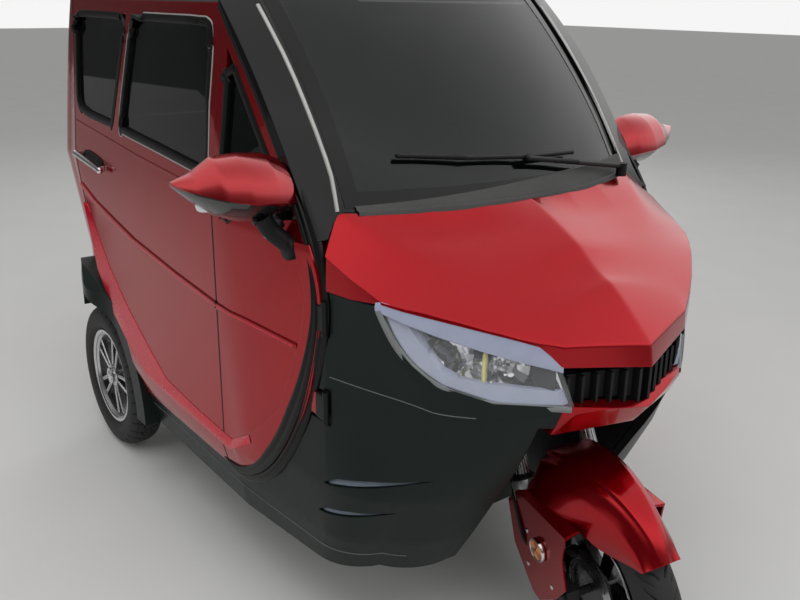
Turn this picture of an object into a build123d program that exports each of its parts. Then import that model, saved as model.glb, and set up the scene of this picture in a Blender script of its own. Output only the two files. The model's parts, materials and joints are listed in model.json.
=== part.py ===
from build123d import *
import math
import os

os.makedirs("parts", exist_ok=True)

# A closed-cabin electric three-wheeler: one steered wheel in front on a raked fork, two behind.
# Millimetres. +X is forward, +Y is the vehicle's left, +Z is up and the ground is z = 0.

# Driving sizes of the body
HALF_WIDTH = 545.0            # side panels, from the sill to the belt
BELT_Z = 975.0                # the side leans inwards above this height
COWL_Z = 1041.0               # foot of the windscreen
ROOF_Z = 1650.0               # top of the roof on the centre line
SKIRT_Z = 232.0               # lowest edge of the cladding
WALL = 40.0                   # doors and cabin walls
PANEL = 22.0                  # nose panels
GLASS = 5.0
GAP = 6.0                     # between a door or lid and the panels round it
SEAT_GAP = 0.3                # between a piece and what carries it
SEAL_GAP = 26.0               # wide rubber gap in front of the door
REAR_X = -1128.0              # back of the body at the belt

# Wheels
TYRE_R = 240.0
TYRE_W = 108.0
RIM_R = 152.0
TRACK_HALF = 465.0
REAR_AXLE_X = -823.0
FRONT_AXLE_X = 902.0
FRONT_TYRE_R = 240.0
FRONT_TYRE_W = 90.0
ARCH_R = 345.0                # rear wheel opening
FLARE_W = 60.0
FLARE_Y = 595.0               # how far the flares stand out

# Steering
RAKE = 24.5                   # degrees
STEER_X = 721.5               # the steering axis passes here
STEER_Z = 500.0
PARKED_STEER = -15.7          # degrees, the way the front wheel stands
LEG_Y = 93.0                  # fork legs either side of the centre line
LEG_BACK = 32.0               # legs behind the steering axis


def side_shape(points, y_low, y_high):
    """Outline in X and Z, carried across the vehicle."""
    face = Plane.XZ.offset(-y_high) * make_face(Polyline(*points, close=True))
    return extrude(face, y_high - y_low, dir=(0, -1, 0))


def plan_shape(points, z_low, z_high):
    """Outline in X and Y, carried upwards."""
    face = Plane.XY.offset(z_low) * make_face(Polyline(*points, close=True))
    return extrude(face, z_high - z_low, dir=(0, 0, 1))


def front_shape(points, x_low, x_high):
    """Outline in Y and Z, carried forwards."""
    face = Plane.YZ.offset(x_low) * make_face(Polyline(*points, close=True))
    return extrude(face, x_high - x_low, dir=(1, 0, 0))


def block(x_low, x_high, y_low, y_high, z_low, z_high):
    size = Box(x_high - x_low, y_high - y_low, z_high - z_low)
    return Pos((x_low + x_high) / 2, (y_low + y_high) / 2, (z_low + z_high) / 2) * size


def rod(start, end, radius, bore=0.0):
    """Round bar or tube between two points."""
    line = Vector(end) - Vector(start)
    plane = Plane(origin=start, z_dir=line)
    solid = extrude(plane * Circle(radius), line.length)
    if bore > 0:
        solid -= extrude(plane * Circle(bore), line.length)
    return solid


def mirrored(shape):
    """The same piece on the other side of the vehicle."""
    return mirror(shape, Plane.XZ)


def biggest(shape):
    """The main solid of a cut, without the crumbs."""
    return max(shape.solids(), key=lambda solid: solid.volume)


def write(name, shape):
    solids = shape.solids()
    out = solids[0] if len(solids) == 1 else Compound(children=list(solids))
    export_step(out, f"parts/{name}.step")
    print(name, len(solids))


# Body surfaces
# Upper cabin, one row per height: height, back, half width of the side, where the side starts to
# taper, outer corner of the windscreen pillar (x, y), edge of the glass (x, y), bulge of the glass.
UPPER_LEVELS = (
    (BELT_Z, REAR_X, HALF_WIDTH, 200.0, 530.0, 500.0, 513.0, 438.0, 95.0),
    (1120.0, REAR_X + 10, 532.5, 160.0, 411.0, 499.0, 441.0, 427.0, 90.0),
    (1260.0, REAR_X + 28, 521.0, 80.0, 303.0, 499.0, 336.0, 425.0, 84.0),
    (1400.0, REAR_X + 55, 509.0, -20.0, 168.0, 496.0, 201.0, 425.0, 76.0),
    (1680.0, REAR_X + 130, 482.0, -400.0, -190.0, 470.0, -160.0, 410.0, 60.0),
)
REAR_TAPER_X = -830.0         # the side turns in behind this
REAR_CORNER_Y = 330.0
# Lower cabin: height, back, half width, half width in front, where the side turns in behind, and how
# much further it tucks in at the back than it does at the belt.
LOWER_LEVELS = (
    (SKIRT_Z, REAR_X + 60, HALF_WIDTH - 45, 455.0, -725.0, 47.0),
    (330.0, REAR_X + 30, HALF_WIDTH - 25, 475.0, -725.0, 47.0),
    (430.0, REAR_X + 10, HALF_WIDTH, 500.0, -725.0, 47.0),
    (650.0, REAR_X, HALF_WIDTH, 500.0, -725.0, 47.0),
    (BELT_Z, REAR_X, HALF_WIDTH, 500.0, REAR_TAPER_X, 0.0),
)


def cabin_outline(z, back, side, taper, pillar_x, pillar_y, glass_x, glass_y, bulge, inset,
                  rear_x=REAR_TAPER_X, tuck=0.0):
    """One level of the cabin as a closed wire, moved inwards by the inset."""
    back += inset
    side -= inset
    pillar_y -= inset
    pillar_x -= inset
    glass_x -= inset
    glass_y -= 0.3 * inset
    corner_y = REAR_CORNER_Y - 0.3 * inset - 0.2 * tuck
    turn = (back + 62.0, side - 62.0 - tuck)
    half = ((back, corner_y), turn, (back + 190.0, side - 22.0 - tuck), (rear_x, side),
            (taper, side), (pillar_x, pillar_y), (glass_x, glass_y))
    left = [Vector(x, y, z) for x, y in half]
    right = [Vector(x, -y, z) for x, y in half]
    edges = [Edge.make_line(right[0], left[0]), Edge.make_three_point_arc(left[0], left[1], left[2])]
    edges += [Edge.make_line(left[i], left[i + 1]) for i in range(2, 6)]
    edges.append(Edge.make_three_point_arc(left[6], Vector(glass_x + bulge, 0, z), right[6]))
    edges += [Edge.make_line(right[i + 1], right[i]) for i in range(5, 1, -1)]
    edges.append(Edge.make_three_point_arc(right[2], right[1], right[0]))
    return Wire(edges)


def roof_cap(inset):
    """Everything under the roof: crowned across, highest over the front seats."""
    sections = []
    # station, height on the centre line, drop at the shoulder
    for x, crown_z, drop in ((-1200.0, 1555.0, 46.0), (-350.0, ROOF_Z, 52.0), (700.0, 1490.0, 60.0)):
        top = crown_z - inset
        edge_z = top - 3.4 * drop
        sections.append(Wire([
            Edge.make_three_point_arc((x, -640, edge_z), (x, 0, top), (x, 640, edge_z)),
            Edge.make_line((x, 640, edge_z), (x, 640, 150)),
            Edge.make_line((x, 640, 150), (x, -640, 150)),
            Edge.make_line((x, -640, 150), (x, -640, edge_z))]))
    return Solid.make_loft(sections, False)


def cabin_form(inset):
    upper = [cabin_outline(*row, inset) for row in UPPER_LEVELS]
    lower = []
    for z, back, side, front, rear_x, tuck in LOWER_LEVELS:
        nose_end = (200.0, 530.0, front, 513.0, 438.0, 95.0)
        lower.append(cabin_outline(z, back, side, *nose_end, inset, rear_x, tuck))
    form = Solid.make_loft(upper, False) + Solid.make_loft(lower, True)
    return form & roof_cap(inset)


# Nose, one row per height: height, how far the two side stretches bow out, then half the outline in
# plan from the sill to the tip.
NOSE_LEVELS = (
    (SKIRT_Z, 22.0, (150, 500), (440, 470), (550, 378), (622, 238), (640, 0)),
    (330.0, 22.0, (150, 520), (480, 490), (600, 402), (682, 238), (700, 0)),
    (470.0, 16.0, (150, 545), (525, 505), (664, 424), (762, 228), (790, 0)),
    (690.0, 5.0, (150, 545), (530, 503), (745, 388), (900, 164), (957, 0)),
    (790.0, 3.0, (150, 545), (530, 500), (712, 430), (884, 185), (944, 0)),
    (905.0, 3.0, (150, 545), (530, 500), (669, 463), (820, 300), (905, 0)),
    (1060.0, 3.0, (150, 545), (530, 495), (640, 470), (760, 330), (860, 0)),
)
# How far each of those points moves inwards, in x and y, for an inset of 1
NOSE_SHRINK = ((0.0, 1.0), (0.5, 1.0), (1.0, 0.7), (1.0, 0.4), (1.0, 0.0))


def bowed(start, end, bow, z):
    """Arc in plan that stands out from its chord, to the left of the way it runs."""
    chord_x = end[0] - start[0]
    chord_y = end[1] - start[1]
    long = math.hypot(chord_x, chord_y)
    middle = ((start[0] + end[0]) / 2 - bow * chord_y / long, (start[1] + end[1]) / 2 + bow * chord_x / long)
    return Edge.make_three_point_arc((*start, z), (*middle, z), (*end, z))


def nose_form(inset):
    wires = []
    for z, bow, *half in NOSE_LEVELS:
        left = []
        for (x, y), (in_x, in_y) in zip(half, NOSE_SHRINK):
            left.append((x - inset * in_x, max(0.0, y - inset * in_y)))
        right = [(x, -y) for x, y in left]
        edges = [Edge.make_line((*right[0], z), (*left[0], z)), Edge.make_line((*left[0], z), (*left[1], z)),
                 bowed(left[1], left[2], bow, z), bowed(left[2], left[3], bow, z),
                 Edge.make_line((*left[3], z), (*left[4], z)), Edge.make_line((*right[4], z), (*right[3], z)),
                 bowed(right[3], right[2], bow, z), bowed(right[2], right[1], bow, z),
                 Edge.make_line((*right[1], z), (*right[0], z))]
        wires.append(Wire(edges))
    return Solid.make_loft(wires, True)


# Bonnet surface, one row per station: ridge height, crease (y, z), shoulder (y, z).
BONNET_STATIONS = (
    (150.0, 1285.0, 610.0, 1230.0, 640.0, 1100.0),
    (480.0, 1090.0, 435.0, 1046.0, 512.0, 1000.0),
    (669.0, 1003.0, 321.0, 937.0, 463.0, 905.0),
    (846.0, 889.0, 214.0, 834.0, 250.0, 808.0),
    (990.0, 765.0, 127.0, 745.0, 130.0, 730.0),
)


def bonnet_cap(inset):
    """Everything under the bonnet: a ridge, two creases and an outer facet each side."""
    wires = []
    for x, ridge, crease_y, crease_z, shoulder_y, shoulder_z in BONNET_STATIONS:
        half = ((crease_y, crease_z - inset), (shoulder_y, shoulder_z - inset),
                (700.0, shoulder_z - 60 - inset), (700.0, 100.0))
        points = [(x, 0, ridge - inset)]
        points += [(x, y, z) for y, z in half]
        points += [(x, -y, z) for y, z in reversed(half)]
        wires.append(Wire(Polyline(*points, close=True).edges()))
    return Solid.make_loft(wires, True)


def outline_face(start, steps):
    """Outline in X and Z from a start point: a step is an end point, or a middle and an end point."""
    edges = []
    here = start
    for step in steps:
        if len(step) == 2 and not isinstance(step[0], tuple):
            edges.append(Edge.make_line((*here, 0), (*step, 0)))
            here = step
        else:
            edges.append(Edge.make_three_point_arc((*here, 0), (*step[0], 0), (*step[1], 0)))
            here = step[1]
    edges.append(Edge.make_line((*here, 0), (*start, 0)))
    return Face(Wire(edges))


def right_side(face, grow=0.0, y_low=-640.0, y_high=-452.0):
    """A side outline carried across the right half of the vehicle."""
    if grow != 0.0:
        face = offset(face, amount=grow)
    return extrude(Plane.XZ.offset(-y_high) * face, y_high - y_low, dir=(0, -1, 0))


def on_circle(radius, z):
    """Place ahead of the rear axle on a circle round the hub."""
    return REAR_AXLE_X + math.sqrt(radius ** 2 - (z - TYRE_R) ** 2)


# Outlines seen from the side
DOOR_REAR_X = -822.0
DOOR_HEEL_X = -690.0          # where the rear edge meets the wheel opening
DOOR_TOP_Z = 1440.0
SILL_Z = 334.0                # top of the sill cladding
PANEL_SPLIT_X = 125.0         # joint between the two panels of a door
DOOR_ARCH_R = ARCH_R + FLARE_W + GAP
door_heel_z = TYRE_R + math.sqrt(DOOR_ARCH_R ** 2 - (DOOR_HEEL_X - REAR_AXLE_X) ** 2)
door_foot_x = on_circle(DOOR_ARCH_R, SILL_Z + GAP)
door_face = outline_face((DOOR_REAR_X, DOOR_TOP_Z), (
    (DOOR_REAR_X, 1010.0),
    ((-778.0, 870.0), (-735.0, 770.0)),
    (DOOR_HEEL_X, door_heel_z),
    ((on_circle(DOOR_ARCH_R, 560.0), 560.0), (door_foot_x, SILL_Z + GAP)),
    (181.0, SILL_Z + GAP + 12),
    ((425.0, 545.0), (512.0, 780.0)),
    ((528.0, 890.0), (470.0, 1021.0)),
    (385.0, 1120.0), (277.0, 1260.0), (142.0, 1400.0), (106.0, DOOR_TOP_Z)))

main_window = outline_face((-453.0, 1126.0), (
    ((-451.0, 1109.0), (-434.0, 1102.0)), (78.0, 1068.0), ((91.0, 1072.0), (96.0, 1086.0)),
    (96.0, 1385.0), (72.0, 1405.0), (-362.0, 1405.0)))
rear_window_side = outline_face((-520.0, 1108.0), (
    ((-506.0, 1112.0), (-500.0, 1126.0)), (-398.0, 1405.0), (-786.0, 1405.0),
    (-806.0, 1380.0), (-806.0, 1176.0), ((-793.0, 1147.0), (-764.0, 1128.0)), (-721.0, 1117.0)))
quarter_window = outline_face((160.0, 983.0), (
    (160.0, 1352.0), (244.0, 1252.0), (352.0, 1118.0), (436.0, 1030.0)))

cabin_outer = cabin_form(0.0)
cabin_clear = cabin_form(-SEAT_GAP)
cabin_inner = cabin_form(WALL)
cabin_wall = cabin_outer - cabin_inner
glass_layer = cabin_form(8.0) - cabin_form(8.0 + GLASS)
nose_outer = nose_form(0.0) & bonnet_cap(0.0)
nose_inner = nose_form(PANEL) & bonnet_cap(PANEL)
nose_wall = nose_outer - nose_inner

# Doors
door_zone = right_side(door_face)
door_hole = right_side(door_face, GAP)
windows = [right_side(face) for face in (main_window, rear_window_side, quarter_window)]
door_blank = cabin_wall & door_zone
for window in windows:
    door_blank -= window
door_main_right = biggest(door_blank & block(-900, PANEL_SPLIT_X - SEAT_GAP / 2, -640, -300, 200, 1700))
door_front_right = biggest(door_blank & block(PANEL_SPLIT_X + SEAT_GAP / 2, 700, -640, -300, 200, 1700))

# Pressed rim round the foot and the front of the doors, and the bead across them
RIM_PROUD = 9.0
BEAD_PROUD = 4.0
# The rim's crest and the foot of its bevel, point for point, from the back to the mirror.
DOOR_RIM = (
    ((-764.0, 850.0), (-756.0, 848.0)), ((-726.0, 755.0), (-688.0, 770.0)),
    ((-678.0, 640.0), (-602.0, 680.0)), ((-589.0, 535.0), (-476.0, 590.0)),
    ((-450.0, 462.0), (-320.0, 505.0)), ((-338.0, 420.0), (-218.0, 456.0)), ((-119.0, 411.0), (-15.0, 443.0)),
    ((165.0, 409.0), (172.0, 440.0)), ((270.0, 470.0), (262.0, 490.0)), ((398.0, 585.0), (380.0, 596.0)),
    ((484.0, 790.0), (464.0, 796.0)), ((501.0, 889.0), (480.0, 887.0)), ((459.0, 1000.0), (444.0, 990.0)))
crest = [top for top, foot in DOOR_RIM]
foot = [foot for top, foot in DOOR_RIM]
beyond = [(700.0, 1000.0), (700.0, 200.0), (-900.0, 200.0), (-900.0, 850.0)]
rim_wires = []
for y, line in ((-490.0, foot), (-HALF_WIDTH, foot), (-HALF_WIDTH - RIM_PROUD, crest)):
    rim_wires.append(Wire(Plane.XZ.offset(-y) * Polyline(*line, *beyond, close=True)))
rim_solid = (Solid.make_loft(rim_wires, True) & cabin_form(-RIM_PROUD)) - cabin_inner
# Upper line of each bead, its height and how far it stands out
DOOR_BEADS = (
    (((-800.0, 910.0), (-677.0, 873.0), (-524.0, 844.0), (-382.0, 819.0), (-110.0, 792.0), (119.0, 776.0),
      (261.0, 774.0), (440.0, 765.0)), 15.0, BEAD_PROUD),
    (((-815.0, 1094.0), (-539.0, 1073.0), (-341.0, 1057.0), (-60.0, 1041.0), (90.0, 1036.0)), 8.0, 2.5),
)
door_skin = rim_solid
for line, height, proud in DOOR_BEADS:
    low_line = [(x, z - height) for x, z in reversed(line)]
    bead = side_shape([*line, *low_line], -640, -452) & cabin_form(-proud)
    door_skin += bead - cabin_inner
door_skin = door_skin & door_zone
skin_main = door_skin & block(-900, PANEL_SPLIT_X - SEAT_GAP / 2, -700, -300, 200, 1700)
skin_front = door_skin & block(PANEL_SPLIT_X + SEAT_GAP / 2, 700, -700, -300, 200, 1700)
for window in windows:
    skin_main -= window
door_main_right = biggest(door_main_right + skin_main)
door_front_right = biggest(door_front_right + skin_front)
window_faces = (main_window, rear_window_side, quarter_window)
panes = [glass_layer & right_side(face, -SEAT_GAP) for face in window_faces]
door_glass_right = Compound(children=[biggest(pane) for pane in panes])

# Handle: a chrome pull bar on two feet over a cup in the door skin
HANDLE_REAR = (-764.0, -563.0, 1001.0)
HANDLE_FRONT = (-560.0, -563.0, 980.0)
HANDLE_R = 9.0
handle = rod(HANDLE_REAR, HANDLE_FRONT, HANDLE_R)
for end, inward in ((HANDLE_REAR, 1), (HANDLE_FRONT, -1)):
    foot_x = end[0] + inward * 22
    handle += Pos(*end) * Sphere(HANDLE_R + 0.6)
    foot_z = end[2] - inward * 2
    handle += block(foot_x - 11, foot_x + 11, end[1], -HALF_WIDTH + 12, foot_z - 8, foot_z + 7)
door_handle_right = biggest(handle - cabin_clear)

# Mirror: a housing with a sharp nose line, on a neck bolted to the front door panel.
# One row per section from the tip inwards: y, back, nose (x, z), top z, bottom z.
MIRROR_SECTIONS = (
    (-741.0, 374.0, 388.0, 1119.0, 1123.0, 1114.0),
    (-700.0, 366.0, 414.0, 1097.0, 1134.0, 1079.0),
    (-655.0, 364.0, 438.0, 1084.0, 1160.0, 1046.0),
    (-600.0, 362.0, 450.0, 1076.0, 1164.0, 1025.0),
    (-545.0, 362.0, 446.0, 1071.0, 1159.0, 1023.0),
    (-503.0, 364.0, 434.0, 1064.0, 1143.0, 1031.0),
)
housing_wires = []
for y, back_x, nose_x, nose_z, top_z, low_z in MIRROR_SECTIONS:
    depth = nose_x - back_x
    upper_mid = (back_x + 0.76 * depth, y, nose_z + 0.58 * (top_z - nose_z))
    lower_mid = (back_x + 0.60 * depth, y, nose_z - 0.64 * (nose_z - low_z))
    housing_wires.append(Wire([
        Edge.make_line((back_x, y, low_z), (back_x, y, top_z)),
        Edge.make_three_point_arc((back_x, y, top_z), upper_mid, (nose_x, y, nose_z)),
        Edge.make_three_point_arc((nose_x, y, nose_z), lower_mid, (back_x, y, low_z))]))
housing = Solid.make_loft(housing_wires, True)
housing -= block(340, 370, -728, -512, 1046, 1120) & block(340, 370, -690, -512, 1040, 1146)
NECK = ((404.0, -566.0, 1040.0), (404.0, -548.0, 1006.0), (424.0, -508.0, 972.0))
arm = rod(NECK[0], NECK[1], 17) + rod(NECK[1], NECK[2], 15) + Pos(*NECK[1]) * Sphere(17.5)
mirror_base = rod((424, -522, 970), (424, -496, 970), 21)
mirror_right = biggest((housing + arm + mirror_base) - cabin_clear)

# Hinge barrels on the door's front edge, and the room that they turn in
HINGE = (536.0, -506.0)        # door hinge line, in plan
BARREL_R = 5.0
BARREL = 70.0
LEAF = 50.0
hinge_room = Part()
for z in (620.0, 815.0):
    leaf_rear = HINGE[0] - LEAF
    leaf = block(leaf_rear, HINGE[0], HINGE[1] - 4, HINGE[1] + 4, z + 10, z + BARREL - 10)
    door_front_right = biggest(door_front_right + rod((*HINGE, z), (*HINGE, z + BARREL), BARREL_R) + leaf)
    hinge_room += rod((*HINGE, z - GAP), (*HINGE, z + BARREL + GAP), BARREL_R + GAP)
    hinge_room += block(leaf_rear - GAP, HINGE[0], HINGE[1] - 4 - GAP, HINGE[1] + 4 + GAP, z, z + BARREL)

# Cab frame: windscreen pillars, header and roof rails
SCREEN_TOP_Z = 1500.0
screen_outline = [(-427, COWL_Z + 2), (427, COWL_Z + 2), (414, SCREEN_TOP_Z), (-414, SCREEN_TOP_Z)]
screen_zone = front_shape(screen_outline, 0, 720)
screen_fit = front_shape([(y - math.copysign(SEAT_GAP, y), z + SEAT_GAP if z < 1200 else z - SEAT_GAP)
                          for y, z in screen_outline], 0, 720)
BODY_SPLIT_X = DOOR_REAR_X - GAP
ROOF_FRONT_X = -40.0
ROOF_REAR_X = -985.0
ROOF_HALF = 400.0
frame_zone = block(BODY_SPLIT_X + SEAT_GAP, 720, -640, 640, 1000, 1700)
seal_zone = right_side(door_face, SEAL_GAP * 0.6)
door_holes = door_hole + mirrored(door_hole)
roof_zone = block(ROOF_REAR_X, ROOF_FRONT_X, -ROOF_HALF, ROOF_HALF, 1450, 1700)
roof_fit_half = ROOF_HALF - SEAT_GAP
roof_fit = block(ROOF_REAR_X + SEAT_GAP, ROOF_FRONT_X - SEAT_GAP, -roof_fit_half, roof_fit_half, 1450, 1700)
cab_frame = biggest((cabin_wall & frame_zone) - door_holes - screen_zone - roof_zone)
windscreen = biggest(glass_layer & screen_fit)
roof_panel = biggest(cabin_wall & roof_fit)

# Rear body with its window, lid and lamps
BUMPER_TOP_Z = 534.0
rear_zone = block(-1300, BODY_SPLIT_X, -640, 640, BUMPER_TOP_Z + SEAT_GAP, 1700)
rear_zone += block(BODY_SPLIT_X - 1, DOOR_HEEL_X + 50, -640, 640, BUMPER_TOP_Z + SEAT_GAP, 1000)
arch_cut = Pos(REAR_AXLE_X, 0, TYRE_R) * Rot(90, 0, 0) * Cylinder(ARCH_R + FLARE_W + SEAT_GAP, 1400)
window_zone = front_shape([(-390, 1110), (390, 1110), (350, 1450), (-350, 1450)], -1300, -960)
window_fit = front_shape([(-389.7, 1110.3), (389.7, 1110.3), (349.7, 1449.7), (-349.7, 1449.7)], -1300, -960)
lid_zone = block(-1300, -1020, -370, 370, 640, 1060)
lid_fit = block(-1300, -1020, -370 + GAP, 370 - GAP, 640 + GAP, 1060 - GAP)
lamp_zone = block(-1300, -1010, -500, -392, 790, 1010)
lamp_fit = block(-1300, -1010, -500 + SEAT_GAP, -392 - SEAT_GAP, 790 + SEAT_GAP, 1010 - SEAT_GAP)
rear_shell = (cabin_wall & rear_zone) - door_holes - arch_cut - window_zone - lid_zone
rear_body = biggest(rear_shell - lamp_zone - mirrored(lamp_zone) - roof_zone)
rear_window = biggest(glass_layer & window_fit)
boot_lid = biggest(cabin_wall & lid_fit)
LID_HINGE = (-1124.0, 1056.6)
for y in (-220, 220):
    boot_lid += rod((LID_HINGE[0], y - 35, LID_HINGE[1]), (LID_HINGE[0], y + 35, LID_HINGE[1]), 3.1)
PLATE_BOLTS = ((-1120.0, -90.0, 760.0), (-1120.0, 90.0, 760.0))
PLATE_BOLT_R = 3.25
for x, y, z in PLATE_BOLTS:
    boot_lid -= rod((x - 30, y, z), (x + 60, y, z), PLATE_BOLT_R)
tail_lamp_right = biggest((cabin_outer - cabin_form(30.0)) & lamp_fit)
wheel_side = block(-1300, 0, -700, -378, 200, 700) + block(-1300, 0, 378, 700, 200, 700)
bumper_zone = block(-1300, -1000, -600, 600, 300, BUMPER_TOP_Z)
rear_bumper = biggest((cabin_wall & bumper_zone) - (arch_cut & wheel_side))

# Sill cladding and wheel flares
sill = (cabin_outer - cabin_form(WALL + 8)) & block(-700, 150 - SEAT_GAP, -640, -300, SKIRT_Z, SILL_Z)
FLARE_IN = 470.0              # the flare starts this far out, and further in behind the axle
FLARE_REAR_IN = 428.0
flare_section = Polyline((ARCH_R, FLARE_REAR_IN), (ARCH_R, FLARE_Y), (ARCH_R + 34, FLARE_Y),
                         (ARCH_R + FLARE_W, FLARE_Y - 30), (ARCH_R + FLARE_W, FLARE_REAR_IN), close=True)
flare = revolve(Plane.XZ * make_face(flare_section), Axis.Z, 360)
flare = Pos(REAR_AXLE_X, 0, TYRE_R) * Rot(90, 0, 0) * flare
flare &= block(-1128, 0, -640, -300, SKIRT_Z, 800)
flare -= block(REAR_AXLE_X, 0, -FLARE_IN, -300, 200, 800)
# Seen from above it stands out most over the front of the wheel and runs into the door and the back.
flare_plan = outline_face((-1128.0, -300.0), (
    (-1128.0, -478.0), (-1060.0, -494.0), (-745.0, -587.0), ((-706.0, -FLARE_Y + 1), (-668.0, -583.0)),
    ((-628.0, -562.0), (-568.0, -551.0)), (-400.0, -546.0), (-400.0, -300.0)))
flare &= extrude(Pos(0, 0, 200) * flare_plan, 600, dir=(0, 0, 1))
sill_and_flare = sill + flare
sill_and_flare -= Pos(REAR_AXLE_X, 0, TYRE_R) * Rot(90, 0, 0) * Cylinder(ARCH_R, 1400)
side_cladding_right = biggest(sill_and_flare)

# Nose: bonnet, cladding, lamps, grille and lip
bonnet_edge = [(150, 905), (669, 903), (882, 788), (960, 762), (1100, 762), (1100, 1400), (150, 1400)]
COWL_DEPTH = 42.0             # the strip between the screen and the bonnet


def cowl_form(depth, z_low, z_high):
    """Upright block that follows the foot of the windscreen at a distance in front."""
    levels = []
    for z in (z_low, z_high):
        levels.append(cabin_outline(z, REAR_X, HALF_WIDTH, 200.0, 530.0, 500.0, 480.0, 436.0, 95.0, -depth))
    return Solid.make_loft(levels, True)


nose_front = block(480, 1200, -640, 640, 200, 1200)
bonnet = (nose_wall & side_shape(bonnet_edge, -640, 640) & nose_front) - cowl_form(COWL_DEPTH, 900.0, 1300.0)
bonnet = biggest(bonnet - cabin_form(-2.0) - door_holes)

lamp_face = outline_face((669.0, 902.0), (
    (882.0, 787.0), (899.0, 704.0), (811.0, 714.0), (748.0, 750.0), ((694.0, 828.0), (668.0, 900.0))))
lamp_end_line = [(-640, 600), (-640, 1000), (-252, 1000), (-191, 790), (-162, 700), (-134, 600)]
lamp_end = front_shape(lamp_end_line, 400, 1100)
lamp_hole = right_side(lamp_face, 0.0, -640, -140) & lamp_end
LENS_SKIN = 4.0
LIGHT_DEPTH = 9.0
lens_in = 1.0 + LENS_SKIN
light_in = lens_in + SEAT_GAP + LIGHT_DEPTH
light_form = nose_form(lens_in + SEAT_GAP)
bowl_form = nose_form(light_in + SEAT_GAP)
lamp_room = right_side(lamp_face, -SEAT_GAP, -640, -140) & lamp_end
lens_right = biggest((nose_form(1.0) - nose_form(lens_in)) & lamp_room)
# A C of light round a bowl: wide at the outer top, then along the top and along the bottom
window_face = outline_face((702.0, 866.0), (
    (767.0, 842.0), (851.0, 811.0), (846.0, 840.0), (1000.0, 840.0), (1000.0, 700.0), (884.0, 700.0),
    (876.0, 736.0), (797.0, 753.0), (762.0, 764.0), (741.0, 784.0)))
lamp_light_right = (light_form - nose_form(light_in)) & lamp_room
lamp_light_right = biggest(lamp_light_right - right_side(window_face, 0.0, -640, -140))
bowl_face = outline_face((702.0, 866.0), (
    (767.0, 842.0), (850.0, 812.0), (872.0, 736.0), (797.0, 753.0), (762.0, 764.0), (741.0, 784.0)))
bowl = right_side(bowl_face, 0.0, -640, -140) - nose_form(54.0)
headlamp_right = biggest(((bowl_form - nose_form(62.0)) & lamp_room) - bowl)

grille_face = [(800, 704), (899, 704), (957, 679), (1000, 679), (1000, 766), (882, 788), (800, 788)]
lip_face = [(800, 704), (899, 704), (957, 679), (1000, 679), (1000, 636), (860, 636), (800, 650)]
centre_hole = side_shape(grille_face, -186, 186) + side_shape(lip_face, -186, 186)
bumper_lip = biggest(nose_wall & side_shape([(x, z - SEAT_GAP) for x, z in lip_face], -185.7, 185.7))

TUNNEL_HALF = 215.0
tunnel_face = [(545, 150), (545, 520), (600, 610), (700, 655),
               (860, 655), (930, 636), (1100, 636), (1100, 150)]
tunnel = side_shape(tunnel_face, -TUNNEL_HALF, TUNNEL_HALF)
front_cladding = (nose_wall & block(150, 1200, -640, 0, 200, 1000)) - side_shape(bonnet_edge, -640, 640)
# Two slanting vents pressed into the cladding: place of the rear end, and size
VENT_DEPTH = 9.0
VENT_LINE = ((0, 0), (32, 22), (110, 38), (203, 51), (110, 21), (32, 3))
vent_floor = nose_form(VENT_DEPTH)
for x, z, scale in ((521.0, 475.0, 1.0), (486.0, 389.0, 0.84)):
    vent = [(x + scale * along, z + scale * up) for along, up in VENT_LINE]
    front_cladding -= side_shape(vent, -640, -200) - vent_floor
front_cladding -= hinge_room
front_cladding_right = biggest(front_cladding - lamp_hole - centre_hole - tunnel - seal_zone)

# Grille: upright slats on a V plate behind the opening
SLATS = 12
GRILLE_DEPTH = 26.0


GRILLE_HALF = 184.0
GRILLE_LOW = 684.0
GRILLE_TOP = 762.0


def grille_front(y):
    """Where the nose surface lies across the grille."""
    return 950.0 - 62.0 * abs(y) / 186.0


plate_mid_x = grille_front(0) - GRILLE_DEPTH
plate_end_x = grille_front(GRILLE_HALF) - GRILLE_DEPTH
plate_line = [(plate_mid_x, 0), (plate_end_x, GRILLE_HALF), (plate_end_x - 6, GRILLE_HALF), (plate_mid_x - 6, 0)]
plate = plan_shape(plate_line, GRILLE_LOW, GRILLE_TOP)
grille = plate + mirrored(plate)
for i in range(SLATS):
    y = GRILLE_HALF * ((2 * i + 1) / SLATS - 1)
    slat_front = grille_front(y) - 10
    grille += block(slat_front - GRILLE_DEPTH + 6, slat_front, y - 4, y + 4, GRILLE_LOW, GRILLE_TOP)
grille -= side_shape([(x, z + SEAT_GAP) for x, z in lip_face], -200, 200)
grille -= Pos(0, SEAT_GAP, 0) * lamp_end + Pos(0, -SEAT_GAP, 0) * mirrored(lamp_end)
grille = biggest(grille)

# Cowl trim and wiper
cowl_trim = cowl_form(COWL_DEPTH - SEAT_GAP, COWL_Z - 19, COWL_Z + 2) & block(440, 720, -425, 425, 1000, 1100)
cowl_trim = biggest(cowl_trim - cabin_clear)

# Wiper: one arm from a pivot at the left of the cowl, with its blade low on the glass
def on_glass(y, z, stand_off):
    """Point in front of the windscreen."""
    for low, high in zip(UPPER_LEVELS, UPPER_LEVELS[1:]):
        if low[0] <= z <= high[0]:
            share = (z - low[0]) / (high[0] - low[0])
            edge_x = low[6] + share * (high[6] - low[6])
            bulge = low[8] + share * (high[8] - low[8])
            return (edge_x + bulge * (1 - (y / 427.0) ** 2) + stand_off, y, z)
    raise ValueError("off the glass")


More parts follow.
